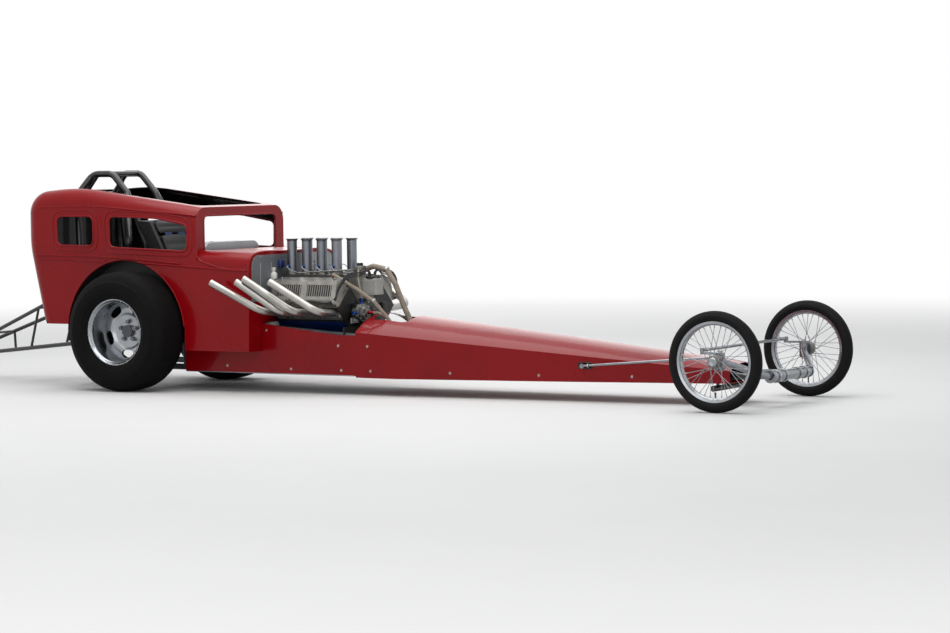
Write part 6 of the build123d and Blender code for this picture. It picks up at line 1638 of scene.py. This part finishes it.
@dataclass
class Cabin:
    """Seat pads, harness, gauges and lever inside the cab."""

    face_foot: tuple = (0.166, 0.560)
    face_top: tuple = (-0.112, 1.120)
    pad_width: float = 0.325
    # Name, place along the seat's face, length, thickness and channels
    back_pads: tuple = (("seat_back_pad", 0.235, 0.420, 0.038, 6), ("seat_head_pad", 0.500, 0.085, 0.034, 2))
    belt_y: float = 0.070
    belt_width: float = 0.075
    # X, share of the belt's distance from the middle, Z
    belt_path: tuple = ((-0.150, 1, 1.020), (-0.085, 1, 1.085), (-0.030, 1, 1.020), (0.060, 1, 0.840),
                        (0.150, 0.9, 0.660), (0.235, 0.75, 0.460), (0.310, 0.45, 0.320),
                        (0.345, 2 / 7, 0.292))
    lap_path: tuple = ((0.240, 0.165, 0.310), (0.290, 0.120, 0.300), (0.340, 0.045, 0.296))
    dash: tuple = (0.318, 0.858)
    dash_axis: tuple = (-1, 0, 0.18)
    # Y and radius in millimetres
    gauges: tuple = ((-0.145, 34), (0.0, 50), (0.145, 34))
    lever_y: float = -0.232
    grip: tuple = ((0, 0), (14, 0), (15.5, 4), (14, 20), (15.5, 40), (14, 60), (15, 88), (10, 98), (0, 100))

    def build(self) -> None:
        """Build the pads, the belts, the gauges and the lever."""
        self.build_pads()
        self.build_harness()
        self.build_gauges()
        self.build_lever()

    def build_pads(self) -> None:
        """Sew the seat's back pad, its cushion and the head pad."""
        foot, top = Vector((*self.face_foot, 0)), Vector((*self.face_top, 0))
        run = (top - foot).normalized()
        ahead = Vector((run.y, -run.x, 0))
        for name, along, length, thick, count in self.back_pads:
            middle = foot + run * along + ahead * (thick / 2 + 0.001)
            pad = cushion(name, spot(middle.x, 0.0, middle.y), (length, self.pad_width, thick),
                          (ahead.x, 0, ahead.y), count)
            dress(pad, SEAT_VINYL)
        seat = cushion("seat_cushion", spot(0.440, 0.0, 0.2455), (0.380, self.pad_width, 0.048), UPWARD, 5)
        dress(seat, SEAT_VINYL)

    def build_harness(self) -> None:
        """Lay both shoulder belts down the back pad to the buckle, and the lap belts across the cushion."""
        for side in SIDES:
            path = [side.spot(x, share * self.belt_y, z) for x, share, z in self.belt_path]
            dress(strap(f"shoulder_belt_{side.name}", path, self.belt_width, 0.0026), HARNESS_WEBBING)
            bar(f"lap_belt_edge_{side.name}", HARNESS_WEBBING,
                [side.spot(*place) for place in self.lap_path], 6)
        dress(block("harness_buckle", spot(0.350, 0.0, 0.300), (0.070, 0.070, 0.014), 0.004, sunk=-0.002,
                    margin=0.010), CHROME)

    def build_gauges(self) -> None:
        """Set three round gauges in the dash cover: bezel, dial and needle."""
        x, z = self.dash
        axis = Vector(self.dash_axis).normalized()
        for number, (y, radius) in enumerate(self.gauges, start=1):
            foot, frame = spot(x, y, z), placed(spot(x, y, z), axis)
            rim, edge = radius - 6, radius - 5
            bezel = ((rim, 0), (radius, 0), (radius + 1, 4), (radius, 12), (radius - 3, 14), (rim, 12))
            lathe(f"gauge_bezel_{number}", CHROME, bezel, foot, axis, steps=40)
            dial = ((0, 0), (edge, 0), (edge, 6), (3, 6.5), (2.5, 10), (0, 10))
            lathe(f"gauge_dial_{number}", INNER_BLACK, dial, foot, axis, steps=40)
            tip = (radius * MM * 0.45, radius * MM * 0.55)
            bar(f"gauge_needle_{number}", WHITE_POLYTHENE,
                [frame @ Vector((*end, 0.0085)) for end in ((0, 0), tip)], 1.1, smooth=False)

    def build_lever(self) -> None:
        """Stand the brake lever beside the seat, with its grip."""
        path = [spot(x, self.lever_y, z) for x, z in ((0.330, 0.330), (0.352, 0.470), (0.330, 0.620))]
        bar("brake_lever", BARE_STEEL, path, 8.5)
        lathe("brake_lever_grip", BLACK_RUBBER, self.grip, spot(0.337, self.lever_y, 0.585), (-0.14, 0, 1),
              steps=28)


@dataclass
class Underside:
    """Bolts and bands of the rear axle and the sills."""

    cover_x: float = -0.079
    band_y: tuple = (0.185, 0.385)
    band: tuple = ((37.5, -10), (43.5, -10), (45, -7), (45, 7), (43.5, 10), (37.5, 10))
    sill_x: tuple = (0.305, 1.560)

    def build(self) -> None:
        """Bolt the axle cover, band the axle tubes and lay the bare sill strips."""
        cover = spot(self.cover_x, 0.0, REAR_AXLE_HEIGHT)
        bolts("axle_cover_bolts", ring(cover, (-1, 0, 0), 0.095, 10, 18), 7.5, 8)
        for side in SIDES:
            for number, y in enumerate(self.band_y):
                lathe(f"axle_band_{side.name}_{number + 1}", GREY_ENAMEL, self.band,
                      side.spot(0.0, y, REAR_AXLE_HEIGHT), LEFTWARD, steps=36)
            bar(f"sill_edge_{side.name}", SHEET_ALUMINIUM,
                [side.spot(x, 0.3275, 0.1185) for x in self.sill_x], 3.5, smooth=False)


@dataclass
class NoseTrim:
    """Rubber round the drag link's slot, on the right side only."""

    slot_middle: tuple = (3.124, 0.214)
    slot_half: tuple = (0.046, 0.017)
    slot_corner: float = 0.0169
    wall_y: float = 0.2520
    wall_slope: float = -0.0574

    def build(self) -> None:
        """Lay the slot's rubber along the slanted wall."""
        middle_x, middle_z = self.slot_middle
        loop = [spot(middle_x + x, -(self.wall_y + self.wall_slope * x), middle_z + z)
                for x, z in rounded_loop(box_corners(*self.slot_half), self.slot_corner)]
        bar("drag_link_slot_rubber", BLACK_RUBBER, loop, 3.4, smooth=False, closed=True)


def keep_box(label: str, box: tuple) -> list[list[float]]:
    """Return a box as plain lists and report it."""
    plain = [[round(value, 5) for value in corner] for corner in box]
    LOG.info("%s box %s", label, plain)
    return plain


def main() -> None:
    """Load the part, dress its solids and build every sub-assembly."""
    logging.basicConfig(level=logging.INFO, format="%(name)s %(message)s")
    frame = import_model()
    sizes = {"cad": keep_box("cad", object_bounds())}
    for node, piece in frame["nodes"].items():
        finish = NODE_FINISHES.get(node)
        if finish is not None:
            piece.data.materials.clear()
            piece.data.materials.append(finish.material())
    wheels = [kind(side) for side in SIDES for kind in (Slick, WireWheel)]
    for sub_assembly in (Studio(), CabTrim(), Fasteners(), *wheels, WheelieWheels(), Engine(), Bulkhead(),
                         FrontEnd(), Cabin(), Underside(), NoseTrim()):
        sub_assembly.build()
    bpy.context.scene.view_settings.view_transform = "Standard"
    sizes["visual"] = keep_box("visual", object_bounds())


if __name__ == "__main__":
    main()
